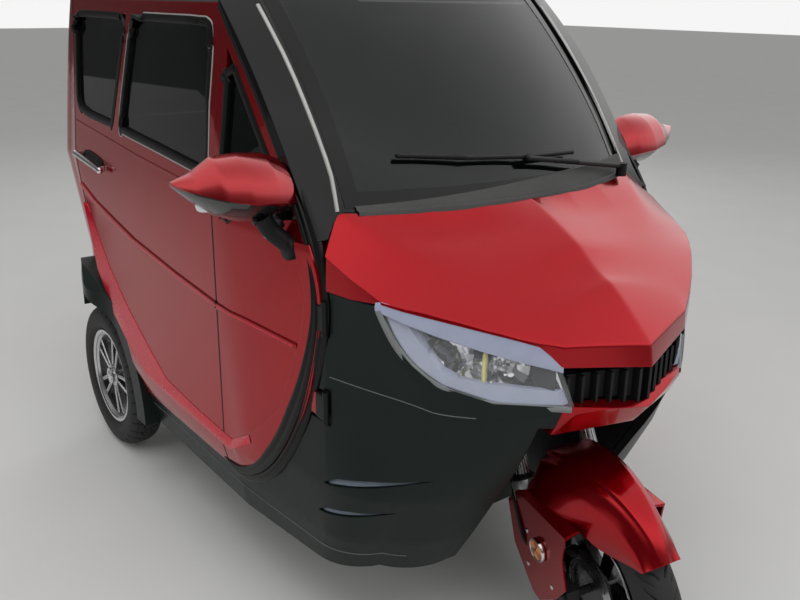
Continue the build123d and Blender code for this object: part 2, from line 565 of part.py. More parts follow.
PIVOT = (528.0, 368.0, COWL_Z + 2.0)
JOINT_BULGE = 0.7             # a joint is a little thicker than its bars
wiper = rod((PIVOT[0], PIVOT[1], PIVOT[2] + SEAT_GAP), (PIVOT[0], PIVOT[1], PIVOT[2] + 32), 13)
arm_path = [(PIVOT[0], PIVOT[1], PIVOT[2] + 24), on_glass(180, 1098, 24), on_glass(20, 1122, 20)]
blade_path = [on_glass(y, z, 14) for y, z in ((185, 1118), (20, 1124), (-140, 1134), (-290, 1146))]
for path, radius in ((arm_path, 6), (blade_path, 5)):
    for start, end in zip(path, path[1:]):
        wiper += rod(start, end, radius) + Pos(*end) * Sphere(radius + JOINT_BULGE)
wiper += rod(on_glass(20, 1122, 8), on_glass(20, 1124, 24), 7)

# Under-structure: two rails that rise over the rear axle, cross members and the steering head
RAIL_Y = 320.0
RAIL_LOW = 285.0
RAIL_HIGH = 325.0
REAR_RAIL_LOW = 388.0
REAR_RAIL_HIGH = 425.0
RAIL_REAR_X = -1040.0
SLOPE = Vector(-math.sin(math.radians(RAKE)), 0.0, math.cos(math.radians(RAKE)))


def up_stem(height):
    """Point on the steering axis, measured from its named place."""
    return Vector(STEER_X, 0, STEER_Z) + SLOPE * height


STEM_R = 17.0
HEAD_LOW = 100.0              # steering head, along the axis
HEAD_TOP = 300.0
chassis = rod(up_stem(HEAD_LOW), up_stem(HEAD_TOP), 30)
braces = []
for side in (-1, 1):
    y_low = side * RAIL_Y - 20
    chassis += block(-600, 480, y_low, y_low + 40, RAIL_LOW, RAIL_HIGH)
    chassis += block(-600, -560, y_low, y_low + 40, RAIL_LOW, REAR_RAIL_HIGH)
    chassis += block(RAIL_REAR_X, -560, y_low, y_low + 40, REAR_RAIL_LOW, REAR_RAIL_HIGH)
    knee = (470, side * 200, 640)
    head = up_stem(HEAD_LOW + 60) + Vector(0, side * 20, 0)
    braces += [((455, side * RAIL_Y, 310), knee), (knee, head)]
    chassis += Pos(*knee) * Sphere(18)
for start, end in braces:
    chassis += rod(start, end, 18)
for x in (-300, 20, 440):
    chassis += block(x - 18, x + 18, -RAIL_Y, RAIL_Y, RAIL_LOW + 2, RAIL_HIGH - 2)
for x in (RAIL_REAR_X + 18, -580):
    chassis += block(x - 18, x + 18, -RAIL_Y, RAIL_Y, REAR_RAIL_LOW + 2, REAR_RAIL_HIGH - 2)
chassis -= rod(up_stem(HEAD_LOW - 20), up_stem(HEAD_TOP + 20), STEM_R + 0.05)

# Floor tray and seat box
FLOOR_Z = RAIL_HIGH + SEAT_GAP
TRAY_HALF = 469.7             # reaches the side cladding
floor_tray = block(-480, 440, -TRAY_HALF, TRAY_HALF, FLOOR_Z, FLOOR_Z + 10)
floor_tray += block(-540, -480, -379, 379, FLOOR_Z, FLOOR_Z + 10)
floor_tray += block(440, 510, -440, 440, FLOOR_Z, FLOOR_Z + 10)
for side in (-1, 1):
    low, high = sorted((side * (TRAY_HALF - 10), side * TRAY_HALF))
    floor_tray += block(-480, 440, low, high, FLOOR_Z, FLOOR_Z + 46)
floor_tray += block(498, 510, -440, 440, FLOOR_Z, 480)
for start, end in braces:
    floor_tray -= rod(start, end, 18 + SEAT_GAP)
SEAT_BOX_TOP = 560.0
box_low = FLOOR_Z + 10 + SEAT_GAP
box_rear_low = REAR_RAIL_HIGH + SEAT_GAP
seat_box = block(-530, -110, -380, 380, box_low, SEAT_BOX_TOP)
seat_box += block(-780, -530, -380, 380, box_rear_low, SEAT_BOX_TOP)
seat_box -= block(-518, -122, -368, 368, box_low - 10, SEAT_BOX_TOP - 12)
seat_box -= block(-768, -500, -368, 368, box_rear_low + 8, SEAT_BOX_TOP - 12)
battery_pack = block(-500, -160, -250, 250, box_low, 530)

# Seats
driver_seat = block(-380, -130, -230, 230, SEAT_BOX_TOP + SEAT_GAP, 650)
driver_seat = fillet(driver_seat.edges().filter_by(Axis.Z), 50)
driver_back = front_shape([(-220, 640), (220, 640), (190, 1010), (-190, 1010)], -440, -372)
driver_seat += fillet(driver_back.edges().filter_by(Axis.X), 30) + block(-430, -370, -150, 150, 600, 660)
rear_bench = block(-800, -560, -380, 380, SEAT_BOX_TOP + SEAT_GAP, 660)
rear_bench += front_shape([(-380, 660), (380, 660), (350, 1000), (-350, 1000)], -880, -800)
rear_bench += block(-850, -790, -380, 380, 600, 662)

# Dashboard
dashboard = side_shape([(400, 872), (440, 950), (510, 965), (510, 851), (440, 830)], -398, 398)
dashboard -= rod(up_stem(300), up_stem(620), 110)

# Rear axle: beam with the motor in the middle, on two leaf springs
rear_axle = rod((REAR_AXLE_X, -372, TYRE_R), (REAR_AXLE_X, 372, TYRE_R), 30)
rear_axle += rod((REAR_AXLE_X, -110, TYRE_R), (REAR_AXLE_X, 90, TYRE_R), 88)
rear_axle += rod((REAR_AXLE_X, 90, TYRE_R), (REAR_AXLE_X, 150, TYRE_R), 105)
STUB_R = 14.0
for side in (-1, 1):
    stub_end = side * (TRACK_HALF + 30)
    rear_axle += rod((REAR_AXLE_X, side * 370, TYRE_R), (REAR_AXLE_X, stub_end, TYRE_R), STUB_R)
SPRING_HALF = 196.0           # from the axle to each spring eye
SPRING_EYE_Z = 346.0
rear_springs = Part()
for side in (-1, 1):
    eye_low = [(REAR_AXLE_X + way * SPRING_HALF, SPRING_EYE_Z - 12) for way in (-1, 1)]
    eye_high = [(x, z + 12) for x, z in eye_low]
    leaf = ThreePointArc(eye_low[0], (REAR_AXLE_X, TYRE_R + 38), eye_low[1]) + Line(eye_low[1], eye_high[1])
    leaf += ThreePointArc(eye_high[1], (REAR_AXLE_X, TYRE_R + 60), eye_high[0]) + Line(eye_high[0], eye_low[0])
    leaf_plane = Plane.XZ.offset(-(side * RAIL_Y + 25))
    rear_springs += extrude(leaf_plane * make_face(leaf), 50, dir=(0, -1, 0))
    for way in (-1, 1):
        eye_x = REAR_AXLE_X + way * SPRING_HALF
        rear_springs += block(eye_x - 9, eye_x + 9, side * RAIL_Y - 25, side * RAIL_Y + 25, SPRING_EYE_Z - 12,
                              REAR_RAIL_LOW - SEAT_GAP)
    rear_axle += block(REAR_AXLE_X - 35, REAR_AXLE_X + 35, side * RAIL_Y - 25, side * RAIL_Y + 25, TYRE_R,
                       TYRE_R + 38 - SEAT_GAP)

# Wheels
def tyre(radius, width, seat_r):
    """Tyre section turned round the axle, with its crown and sidewalls."""
    half = width / 2
    section = (Polyline((seat_r, -half * 0.72), (seat_r + 8, -half * 0.9))
               + ThreePointArc((seat_r + 8, -half * 0.9), (seat_r + (radius - seat_r) * 0.5, -half),
                               (radius - 16, -half * 0.86))
               + ThreePointArc((radius - 16, -half * 0.86), (radius, 0), (radius - 16, half * 0.86))
               + ThreePointArc((radius - 16, half * 0.86), (seat_r + (radius - seat_r) * 0.5, half),
                               (seat_r + 8, half * 0.9))
               + Polyline((seat_r + 8, half * 0.9), (seat_r, half * 0.72), (seat_r, -half * 0.72)))
    return revolve(Plane.XZ * make_face(section), Axis.Z, 360)


def rim(width, hub_r, bore, face):
    """Rim barrel and hub about the Z axis; face is the outer end of the hub."""
    half = width / 2 * 0.72
    outer_half = ((RIM_R - SEAT_GAP, half - 1), (RIM_R - 9, half - 1), (RIM_R - 18, half - 12), (RIM_R - 26, 8))
    section = Polyline(*outer_half, *[(r, -z) for r, z in reversed(outer_half)], close=True)
    barrel = revolve(Plane.XZ * make_face(section), Axis.Z, 360)
    hub = Pos(0, 0, (face - half + 5) / 2) * Cylinder(hub_r, face + half - 5)
    return barrel + hub - Cylinder(bore, 400)


def bar_spokes(count, hub_r, hub_half, rim_half, bar, z_low, z_high):
    """Pairs of bars that spread from the hub to the rim; a half of 0 gives single spokes."""
    spokes = Part()
    end_r = RIM_R - 20
    for i in range(count):
        for way in ((-1, 1) if hub_half > 0 else (0,)):
            outline = [(hub_r - 6, way * hub_half - bar / 2), (end_r, way * rim_half - bar * 0.6),
                       (end_r, way * rim_half + bar * 0.6), (hub_r - 6, way * hub_half + bar / 2)]
            spokes += Rot(0, 0, 360 * i / count) * plan_shape(outline, z_low, z_high)
    return spokes


def on_axle(shape, x, y, z):
    """Stand a wheel turned about Z on its axle across the vehicle."""
    return Pos(x, y, z) * Rot(90, 0, 0) * shape


rear_tyre = tyre(TYRE_R, TYRE_W, RIM_R)
rear_rim = rim(TYRE_W, 36, STUB_R + 0.05, 34) + bar_spokes(5, 36, 10, 24, 11, 14, 32)
rear_rim += Pos(0, 0, 39) * Cylinder(27, 12)
front_tyre_solid = tyre(FRONT_TYRE_R, FRONT_TYRE_W, RIM_R)
front_rim_solid = rim(FRONT_TYRE_W, 34, 9.05, 27) + bar_spokes(5, 34, 0, 0, 34, -11, 11) - Cylinder(9.05, 400)
disc = Pos(0, 0, 47) * Cylinder(98, 4) - Cylinder(60, 200)
disc_carrier = Pos(0, 0, 35) * Cylinder(64, 20) - Cylinder(9.05, 400)
front_rim_solid = front_rim_solid + disc + disc_carrier

# Fork, straight ahead; the parked angle is applied at the end
SQUARE = Vector(math.cos(math.radians(RAKE)), 0.0, math.sin(math.radians(RAKE)))
steer_axis = Axis((STEER_X, 0, STEER_Z), tuple(SLOPE))
trial = on_axle(front_tyre_solid, FRONT_AXLE_X, 0, FRONT_TYRE_R).rotate(steer_axis, PARKED_STEER)
AXLE = (FRONT_AXLE_X, 0.0, FRONT_TYRE_R - trial.bounding_box().min.Z)


def up_leg(height, y):
    """Point on a fork leg's line, beside the steering axis's named place plus the height."""
    return Vector(STEER_X, y, STEER_Z) - SQUARE * LEG_BACK + SLOPE * height


LEG_FOOT = -275.0
LEG_CAP = -92.0               # cap of the lower leg
YOKE = 70.0
fork_lowers = rod((AXLE[0], -LEG_Y - 22, AXLE[2]), (AXLE[0], LEG_Y + 22, AXLE[2]), 9)
for side in (-1, 1):
    fork_lowers += rod(up_leg(LEG_FOOT, side * LEG_Y), up_leg(LEG_CAP - 22, side * LEG_Y), 23)
    fork_lowers += rod(up_leg(LEG_CAP - 22, side * LEG_Y), up_leg(LEG_CAP, side * LEG_Y), 29)
    foot = up_leg(LEG_FOOT + 30, 0)
    lug = [(foot.X - 10, foot.Z + 28), (AXLE[0] + 14, AXLE[2] + 20), (AXLE[0] + 20, AXLE[2] - 14),
           (AXLE[0] - 8, AXLE[2] - 22), (foot.X + 6, foot.Z - 26)]
    fork_lowers += side_shape(lug, side * LEG_Y - 14, side * LEG_Y + 14)
for side in (-1, 1):
    fork_lowers -= rod(up_leg(LEG_FOOT + 90, side * LEG_Y), up_leg(LEG_CAP + 5, side * LEG_Y), STEM_R + 0.05)
CALIPER_R = 94.0
caliper_angle = math.radians(190)
caliper_x = AXLE[0] + CALIPER_R * math.cos(caliper_angle)
caliper_z = AXLE[2] + CALIPER_R * math.sin(caliper_angle)
caliper = Pos(caliper_x, -50, caliper_z) * Rot(0, -10, 0) * (Box(56, 42, 80) - Pos(8, 0, 0) * Box(56, 12, 100))
fork_lowers += caliper + block(AXLE[0] - 112, AXLE[0] - 90, -100, -56, AXLE[2] - 40, AXLE[2] + 6)
fork_lowers -= rod((AXLE[0], -53, AXLE[2]), (AXLE[0], -41, AXLE[2]), 100)
fork_lowers += rod((AXLE[0], -LEG_Y - 22, AXLE[2]), (AXLE[0], LEG_Y + 22, AXLE[2]), 9)

fork_upper = Part()
for side in (-1, 1):
    fork_upper += rod(up_leg(LEG_FOOT + 110, side * LEG_Y), up_leg(YOKE + 14, side * LEG_Y), STEM_R)
yoke_centre = up_stem(YOKE) - SQUARE * (LEG_BACK / 2)
fork_upper += Pos(*yoke_centre) * Rot(0, -RAKE, 0) * Box(96, 2 * LEG_Y + 56, 22)
fork_upper += rod(up_stem(YOKE - 11), up_stem(470), STEM_R)

handlebar = rod(up_stem(430), up_stem(500), 26) - rod(up_stem(400), up_stem(470 + SEAT_GAP), STEM_R + 0.05)
bar_hub = tuple(up_stem(490))
for side in (-1, 1):
    mid = (bar_hub[0] - 60, side * 90, bar_hub[2] + 40)
    knee = (bar_hub[0] - 210, side * 150, bar_hub[2] + 40)
    tip = (bar_hub[0] - 270, side * 270, bar_hub[2] + 30)
    handlebar += rod(bar_hub, mid, 11) + Pos(*mid) * Sphere(11) + rod(mid, knee, 11) + Pos(*knee) * Sphere(11)
    handlebar += rod(knee, tip, 16)

# Front fender: a crowned centre with a raised spine over the tyre, and plates outside the fork legs.
# One row per section round the axle, from the tip back: degrees above forward, radius on the centre
# line, half width and height of the spine, shoulder (y, radius), lower edge (y, radius).
FENDER_SECTIONS = (
    (43.0, 271.0, 10.0, 1.0, 42.0, 260.0, 42.5, 252.0),
    (52.0, 284.0, 14.0, 2.0, 50.0, 242.0, 51.0, 210.0),
    (66.0, 292.0, 24.0, 5.0, 62.0, 206.0, 63.0, 176.0),
    (80.0, 295.0, 34.0, 8.0, 77.0, 197.0, 78.0, 180.0),
    (99.0, 301.0, 44.0, 10.0, 95.0, 195.0, 97.0, 183.0),
    (116.0, 312.0, 50.0, 10.0, 106.0, 214.0, 107.0, 203.0),
    (140.0, 318.0, 54.0, 10.0, 112.0, 250.0, 113.0, 240.0),
)
# How far inside each outer point the inner skin lies, in y and radius
FENDER_INNER = ((0, 4), (1, 4), (1, 4), (2, 4), (3.4, 3), (4, 4), (4, 0))


def fender_section(angle, top, spine_y, spine_h, shoulder_y, shoulder_r, low_y, low_r):
    """Cross-section of the fender in the plane that holds the axle, as a closed wire."""
    hip_y = spine_y + 0.30 * (shoulder_y - spine_y)
    hip_r = top - spine_h - 6
    waist_y = spine_y + 0.72 * (shoulder_y - spine_y)
    waist_r = shoulder_r + 0.55 * (hip_r - shoulder_r)
    half = [(0.0, top), (spine_y, top - 2), (spine_y + 3, top - 2 - spine_h), (hip_y + 2, hip_r - 2),
            (waist_y + 4, waist_r), (shoulder_y, shoulder_r), (low_y, low_r)]
    inner = [(y - in_y, r - in_r) for (y, r), (in_y, in_r) in zip(half, FENDER_INNER)]
    ring = half + inner[::-1] + [(-y, r) for y, r in inner[1:]] + [(-y, r) for y, r in half[:0:-1]]
    turn = math.radians(angle)
    points = [Vector(AXLE[0] + r * math.cos(turn), y, AXLE[2] + r * math.sin(turn)) for y, r in ring]
    return Wire(Polyline(*points, close=True).edges())


fender = Solid.make_loft([fender_section(*row) for row in FENDER_SECTIONS], True)
fender &= side_shape([(807, 536), (739, 418), (739, 380), (1200, 380), (1200, 700), (807, 700)], -200, 200)
PLATE_Y = LEG_Y + 30
PLATE_TOP = 426.0
plate_outline = [(700, 380), (722, 275), (800, 190), (830, 185), (900, 240), (938, 290), (925, 360),
                 (934, 400), (940, PLATE_TOP), (742, PLATE_TOP)]
for side in (-1, 1):
    plate_mid = side * PLATE_Y
    fender += side_shape(plate_outline, plate_mid - 2, plate_mid + 2)
    brow = [(plate_mid + side * 2, PLATE_TOP - 4), (plate_mid - side * 2, PLATE_TOP - 6),
            (side * 92, PLATE_TOP + 1), (side * 92, PLATE_TOP + 6), (plate_mid + side * 2, PLATE_TOP)]
    fender += front_shape(brow, 742, 940)
    fender -= rod(up_leg(LEG_FOOT, side * LEG_Y), up_leg(YOKE, side * LEG_Y), 29 + SEAT_GAP)
fender = biggest(fender)

# Front wheel well and leg shield
outer_line = [(533, 262), (533, 524), (592, 618), (697, 665), (866, 665), (866, 262)]
inner_line = [(545, 200), (545, 520), (600, 610), (700, 655), (960, 655), (960, 200)]
well_outer = side_shape(outer_line, -TUNNEL_HALF - 10, TUNNEL_HALF + 10)
well_inner = side_shape(inner_line, -TUNNEL_HALF, TUNNEL_HALF)
front_liner = (well_outer - well_inner) & nose_form(PANEL + 2)
front_liner = front_liner - rod(up_stem(0), up_stem(400), 75)
for start, end in braces:
    front_liner -= rod(start, end, 18 + SEAT_GAP)
front_liner = biggest(front_liner)
leg_shield = block(510 + SEAT_GAP, 518, -400, 400, 345, 930) - rod(up_stem(0), up_stem(560), 75)
for start, end in braces:
    leg_shield -= rod(start, end, 18 + SEAT_GAP)
leg_shield = biggest(leg_shield)

# Rear wheel wells
WELL_IN = 380.0 + SEAT_GAP     # beside the seat box
WELL_OUT = 470.0 - SEAT_GAP    # behind the flare
WELL_DEPTH = WELL_OUT - WELL_IN
WELL_MID = (WELL_OUT + WELL_IN) / 2
rear_wells = Part()
for side in (-1, 1):
    hub_line = Pos(REAR_AXLE_X, side * WELL_MID, TYRE_R) * Rot(90, 0, 0)
    well = hub_line * (Cylinder(ARCH_R - 10, WELL_DEPTH) - Cylinder(ARCH_R - 16, 200))
    wall_line = Pos(REAR_AXLE_X, side * (WELL_IN + 3), TYRE_R) * Rot(90, 0, 0)
    wall = wall_line * (Cylinder(ARCH_R - 10, 6) - Cylinder(60, 200))
    low, high = sorted((side * WELL_IN, side * WELL_OUT))
    rear_wells += (well + wall) & block(-1072, -300, low, high, 345, 800)

# Small parts
front_reflectors = Part()
for side in (-1, 1):
    spot = (AXLE[0] - 66, side * (PLATE_Y + 2 + SEAT_GAP), AXLE[2] + 90)
    front_reflectors += rod(spot, (spot[0], spot[1] + side * 6, spot[2]), 22)


def parked(shape):
    """Turn a piece of the front end to the angle at which it is parked."""
    return shape.rotate(steer_axis, PARKED_STEER)


pieces = {
    "chassis_frame": chassis, "floor_tray": floor_tray, "seat_box": seat_box, "battery_pack": battery_pack,
    "driver_seat": driver_seat, "rear_bench": rear_bench, "dashboard": dashboard, "rear_axle": rear_axle,
    "rear_springs": rear_springs, "rear_wells": rear_wells, "front_well": front_liner, "leg_shield": leg_shield,
    "cab_frame": cab_frame, "roof_panel": roof_panel, "windscreen": windscreen, "cowl_trim": cowl_trim,
    "wiper": wiper, "bonnet": bonnet, "grille": grille, "bumper_lip": bumper_lip,
    "rear_body": rear_body, "rear_window": rear_window, "rear_bumper": rear_bumper, "boot_lid": boot_lid,
    "fork_upper": parked(fork_upper), "fork_lowers": parked(fork_lowers), "front_fender": parked(fender),
    "handlebar": parked(handlebar), "front_reflectors": parked(front_reflectors),
    "front_tyre": parked(on_axle(front_tyre_solid, *AXLE)),
    "front_rim": parked(on_axle(front_rim_solid, *AXLE)),
}
paired = {
    "side_cladding": side_cladding_right, "front_cladding": front_cladding_right,
    "headlamp": headlamp_right, "headlamp_lens": lens_right, "lamp_light": lamp_light_right,
    "tail_lamp": tail_lamp_right, "door_main": door_main_right, "door_front": door_front_right,
    "door_glass": door_glass_right, "door_handle": door_handle_right, "mirror": mirror_right,
    "rear_tyre": on_axle(rear_tyre, REAR_AXLE_X, -TRACK_HALF, TYRE_R),
    "rear_rim": on_axle(rear_rim, REAR_AXLE_X, -TRACK_HALF, TYRE_R),
}
for name, shape in pieces.items():
    write(name, shape)
for name, shape in paired.items():
    write(f"{name}_right", shape)
    write(f"{name}_left", mirrored(shape))
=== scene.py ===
import bmesh
import bpy
import json
import math
import numpy as np
from mathutils import Matrix, Vector
from mathutils.bvhtree import BVHTree


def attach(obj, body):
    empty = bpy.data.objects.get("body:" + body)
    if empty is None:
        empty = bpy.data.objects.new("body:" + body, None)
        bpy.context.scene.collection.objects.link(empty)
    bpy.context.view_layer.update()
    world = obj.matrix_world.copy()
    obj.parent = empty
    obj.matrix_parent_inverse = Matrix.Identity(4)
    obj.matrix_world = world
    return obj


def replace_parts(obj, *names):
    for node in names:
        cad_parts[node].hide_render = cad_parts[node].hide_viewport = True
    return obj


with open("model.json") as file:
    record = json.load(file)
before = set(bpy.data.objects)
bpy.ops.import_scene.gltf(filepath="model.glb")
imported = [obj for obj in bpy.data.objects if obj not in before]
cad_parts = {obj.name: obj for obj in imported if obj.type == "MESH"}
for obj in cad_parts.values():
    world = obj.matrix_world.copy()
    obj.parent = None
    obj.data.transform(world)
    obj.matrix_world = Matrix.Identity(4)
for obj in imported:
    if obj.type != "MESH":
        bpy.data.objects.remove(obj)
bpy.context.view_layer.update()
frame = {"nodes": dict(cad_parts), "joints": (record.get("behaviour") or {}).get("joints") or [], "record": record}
sides = (("right", -1), ("left", 1))
print("frame loaded")


# A value or colour on a surface: arithmetic on it adds Math nodes.
class Field:
    def __init__(self, nodes, socket):
        self.nodes = nodes
        self.socket = socket

    def math(self, operation, other=0.0, swapped=False):
        pair = (other, self) if swapped else (self, other)
        return self.nodes.node("ShaderNodeMath", {"operation": operation}, {0: pair[0], 1: pair[1]})

    def __add__(self, other):
        return self.math("ADD", other)

    def __sub__(self, other):
        return self.math("SUBTRACT", other)

    def __rsub__(self, other):
        return self.math("SUBTRACT", other, True)

    def __mul__(self, other):
        return self.math("MULTIPLY", other)

    def __gt__(self, other):
        return self.math("GREATER_THAN", other)

    __radd__ = __add__
    __rmul__ = __mul__


# A node tree. A node comes from its kind, its settings and the values or links of its sockets.
class Nodes:
    def __init__(self, owner):
        owner.use_nodes = True
        self.tree = owner.node_tree

    def give(self, socket, value):
        if isinstance(value, Field):
            self.tree.links.new(value.socket, socket)
        else:
            socket.default_value = value

    def node(self, kind, settings, sockets, out=0):
        made = self.tree.nodes.new(kind)
        for key, value in settings.items():
            if key != "stops":
                setattr(made, key, value)
        stops = settings.get("stops", ())
        for extraStop in stops[2:]:
            made.color_ramp.elements.new(1.0)
        for element, (at, colour) in zip(made.color_ramp.elements if stops else (), stops):
            element.position = at
            element.color = colour
        for key, value in sockets.items():
            self.give(made.inputs[key], value)
        return Field(self, made.outputs[out])


# One material: its shader's plain sockets are given by name, the rest by nodes.
class Finish(Nodes):
    def __init__(self, name, **plain):
        self.material = bpy.data.materials.new(name)
        super().__init__(self.material)
        self.shader = self.tree.nodes["Principled BSDF"]
        for socket, value in plain.items():
            self.feed(socket.replace("_", " "), value)
        self.place = self.node("ShaderNodeTexCoord", {}, {}, "Object")

    def feed(self, socket, value):
        self.give(self.shader.inputs[socket], value)

    def noise(self, scale, detail=2.0):
        return self.node("ShaderNodeTexNoise", {}, {"Vector": self.place, "Scale": scale, "Detail": detail}, "Fac")

    def cells(self, scale):
        return self.node("ShaderNodeTexVoronoi", {}, {"Vector": self.place, "Scale": scale}, "Color")

    def ramp(self, value, *stops):
        return self.node("ShaderNodeValToRGB", {"stops": stops}, {0: value}, "Color")

    def blend(self, share, low, high):
        return self.node("ShaderNodeMix", {"data_type": "RGBA"}, {0: share, 6: low, 7: high}, 2)

    def part(self, axis):
        return self.node("ShaderNodeSeparateXYZ", {}, {0: self.place}, axis)

    # Roughness that wanders about its value
    def wear(self, roughness, uneven, *noise):
        self.feed("Roughness", self.noise(*noise) * uneven + roughness - uneven / 2)

    # Raised grain; with an edge radius the shading of sharp edges is rounded too.
    def bump(self, height, strength, distance, edge=0.0):
        sockets = {"Strength": strength, "Distance": distance, "Height": height}
        if edge > 0:
            sockets["Normal"] = self.node("ShaderNodeBevel", {"samples": 4}, {"Radius": edge})
        self.feed("Normal", self.node("ShaderNodeBump", {}, sockets))


def solid(colour):
    return (*colour, 1.0)


def grey(value):
    return (value, value, value, 1.0)


# Candy red: two reds in fine flakes under a clear coat
paint = {"bright": (0.46, 0.001, 0.008), "deep": (0.28, 0.0, 0.003), "flakes": 2600.0, "metal": 0.88,
         "roughness": 0.22, "wear": (0.06, 900.0), "clearcoat": 0.45, "peelNoise": (220.0, 3.0),
         "peel": (0.015, 0.0003), "edge": 0.0035}


def flakes(finish):
    return finish.ramp(finish.cells(paint["flakes"]), (0.15, solid(paint["deep"])), (0.9, solid(paint["bright"])))


def paintSurface(finish):
    finish.wear(paint["roughness"], *paint["wear"])
    finish.bump(finish.noise(*paint["peelNoise"]), *paint["peel"], paint["edge"])
    return finish.material


def candyPaint():
    red = Finish("candyRed", Coat_Weight=paint["clearcoat"], Coat_Roughness=0.02, Specular_IOR_Level=0.2,
                 Metallic=paint["metal"])
    red.feed("Base Color", red.blend(red.noise(6.0) * 0.5, flakes(red), solid(paint["bright"])))
    return paintSurface(red)


# The mirror housing is red above its nose line and black below; the line rises towards the tip.
mirrorLook = {"inner": 0.503, "height": 1.063, "slope": 0.05, "bend": 0.7, "black": (0.010, 0.010, 0.011)}


def mirrorPaint():
    shell = Finish("mirrorShell", Coat_Weight=1.0, Coat_Roughness=0.02, Specular_IOR_Level=0.4)
    out = shell.part("Y").math("ABSOLUTE") - mirrorLook["inner"]
    line = out * mirrorLook["slope"] + out * out * mirrorLook["bend"] + mirrorLook["height"]
    above = shell.part("Z") > line
    shell.feed("Base Color", shell.blend(above, solid(mirrorLook["black"]), flakes(shell)))
    shell.feed("Metallic", above * paint["metal"])
    return paintSurface(shell)


# Moulded plastic: broad clouds between two colours over a fine pebbled grain
clouds = {"noise": (9.0, 4.0), "wear": (0.14, 55.0, 4.0), "grain": (0.08, 0.0003)}


def cloudedPlastic(name, low, high, grain, roughness, shine, edge):
    made = Finish(name, Specular_IOR_Level=shine)
    made.feed("Base Color", made.blend(made.noise(*clouds["noise"]), solid(low), solid(high)))
    made.wear(roughness, *clouds["wear"])
    made.bump(made.cells(grain), *clouds["grain"], edge)
    return made.material


# Any other finish: faint patches a share darker than its colour over a grain of its own
patches = {"noise": (30.0, 3.0), "darker": 0.8, "wear": (0.1, 80.0, 3.0), "grainHigh": 0.0004}


def plainFinish(name, colour, roughness, metallic=0.0, grain=600.0, depth=0.05, coat=0.0, edge=0.0012, shine=0.5):
    made = Finish(name, Specular_IOR_Level=shine, Metallic=metallic, Coat_Weight=coat)
    dark = [patches["darker"] * part for part in colour]
    made.feed("Base Color", made.blend(made.noise(*patches["noise"]), solid(dark), solid(colour)))
    made.wear(roughness, *patches["wear"])
    made.bump(made.noise(grain), depth, patches["grainHigh"], edge)
    return made.material


# Clear sheet: smears change its roughness and how much of it is seen
def clearSheet(name, smears, detail, roughness, alpha, **plain):
    pane = Finish(name, **plain)
    smear = pane.noise(smears, detail)
    pane.feed("Roughness", smear * roughness[0] + roughness[1])
    pane.feed("Alpha", smear * alpha[0] + alpha[1])
    return pane.material


finishes = {
    "candy_red": candyPaint(),
    "cladding_grey": cloudedPlastic("claddingGrey", (0.006, 0.011, 0.010), (0.010, 0.016, 0.014), 1400.0, 0.36, 0.16,
                                    0.003),
    "black_gloss": plainFinish("blackGloss", (0.003, 0.003, 0.004), 0.08, depth=0.01, edge=0.003, shine=0.3),
    "black_plastic": plainFinish("blackPlastic", (0.006, 0.006, 0.007), 0.5, depth=0.1, shine=0.25),
    "dark_plastic": plainFinish("dashPlastic", (0.030, 0.030, 0.033), 0.6, depth=0.2, grain=900.0, edge=0.004),
    "seat_leather": plainFinish("seatCover", (0.028, 0.028, 0.030), 0.5, depth=0.3, grain=400.0, edge=0.006),
    "black_steel": plainFinish("blackSteel", (0.018, 0.018, 0.019), 0.38, 0.2),
    "tinted_glass": clearSheet("tintedGlass", 14.0, 3.0, (0.02, 0.01), (0.06, 0.74), Specular_IOR_Level=0.45,
                               Base_Color=(0.002, 0.003, 0.003, 1)),
    "clear_lens": clearSheet("clearLens", 40.0, 2.0, (0.03, 0.02), (0.02, 0.05), Base_Color=(0.9, 0.93, 0.95, 1),
                             Coat_Weight=0.4),
    "bright_steel": plainFinish("forkTube", (0.62, 0.62, 0.63), 0.2, 1.0, depth=0.01),
    "fork_alloy": plainFinish("forkCasting", (0.020, 0.020, 0.021), 0.38, 0.3, depth=0.15),
    "amber_plastic": plainFinish("amberReflector", (0.9, 0.26, 0.008), 0.18, coat=1.0),
    "tyre_rubber": plainFinish("tyreRubber", (0.017, 0.017, 0.018), 0.66, depth=0.2, grain=500.0, edge=0.0),
    "black_alloy": plainFinish("blackAlloy", (0.010, 0.010, 0.011), 0.28, 0.3, coat=0.5, depth=0.02, edge=0.004),
    "lamp_chrome": plainFinish("lampReflector", (0.82, 0.83, 0.85), 0.06, 1.0, depth=0.0),
    "lamp_guide": plainFinish("lampGuide", (0.34, 0.37, 0.50), 0.22, coat=0.6, depth=0.01, edge=0.003),
    "red_lens": plainFinish("redLens", (0.20, 0.002, 0.004), 0.10, coat=1.0, depth=0.01),
    "chrome": plainFinish("brightChrome", (0.8, 0.8, 0.81), 0.09, 1.0, depth=0.005, edge=0.003),
    "machined_alloy": plainFinish("machinedAlloy", (0.72, 0.72, 0.73), 0.24, 1.0, depth=0.03, edge=0.002),
}
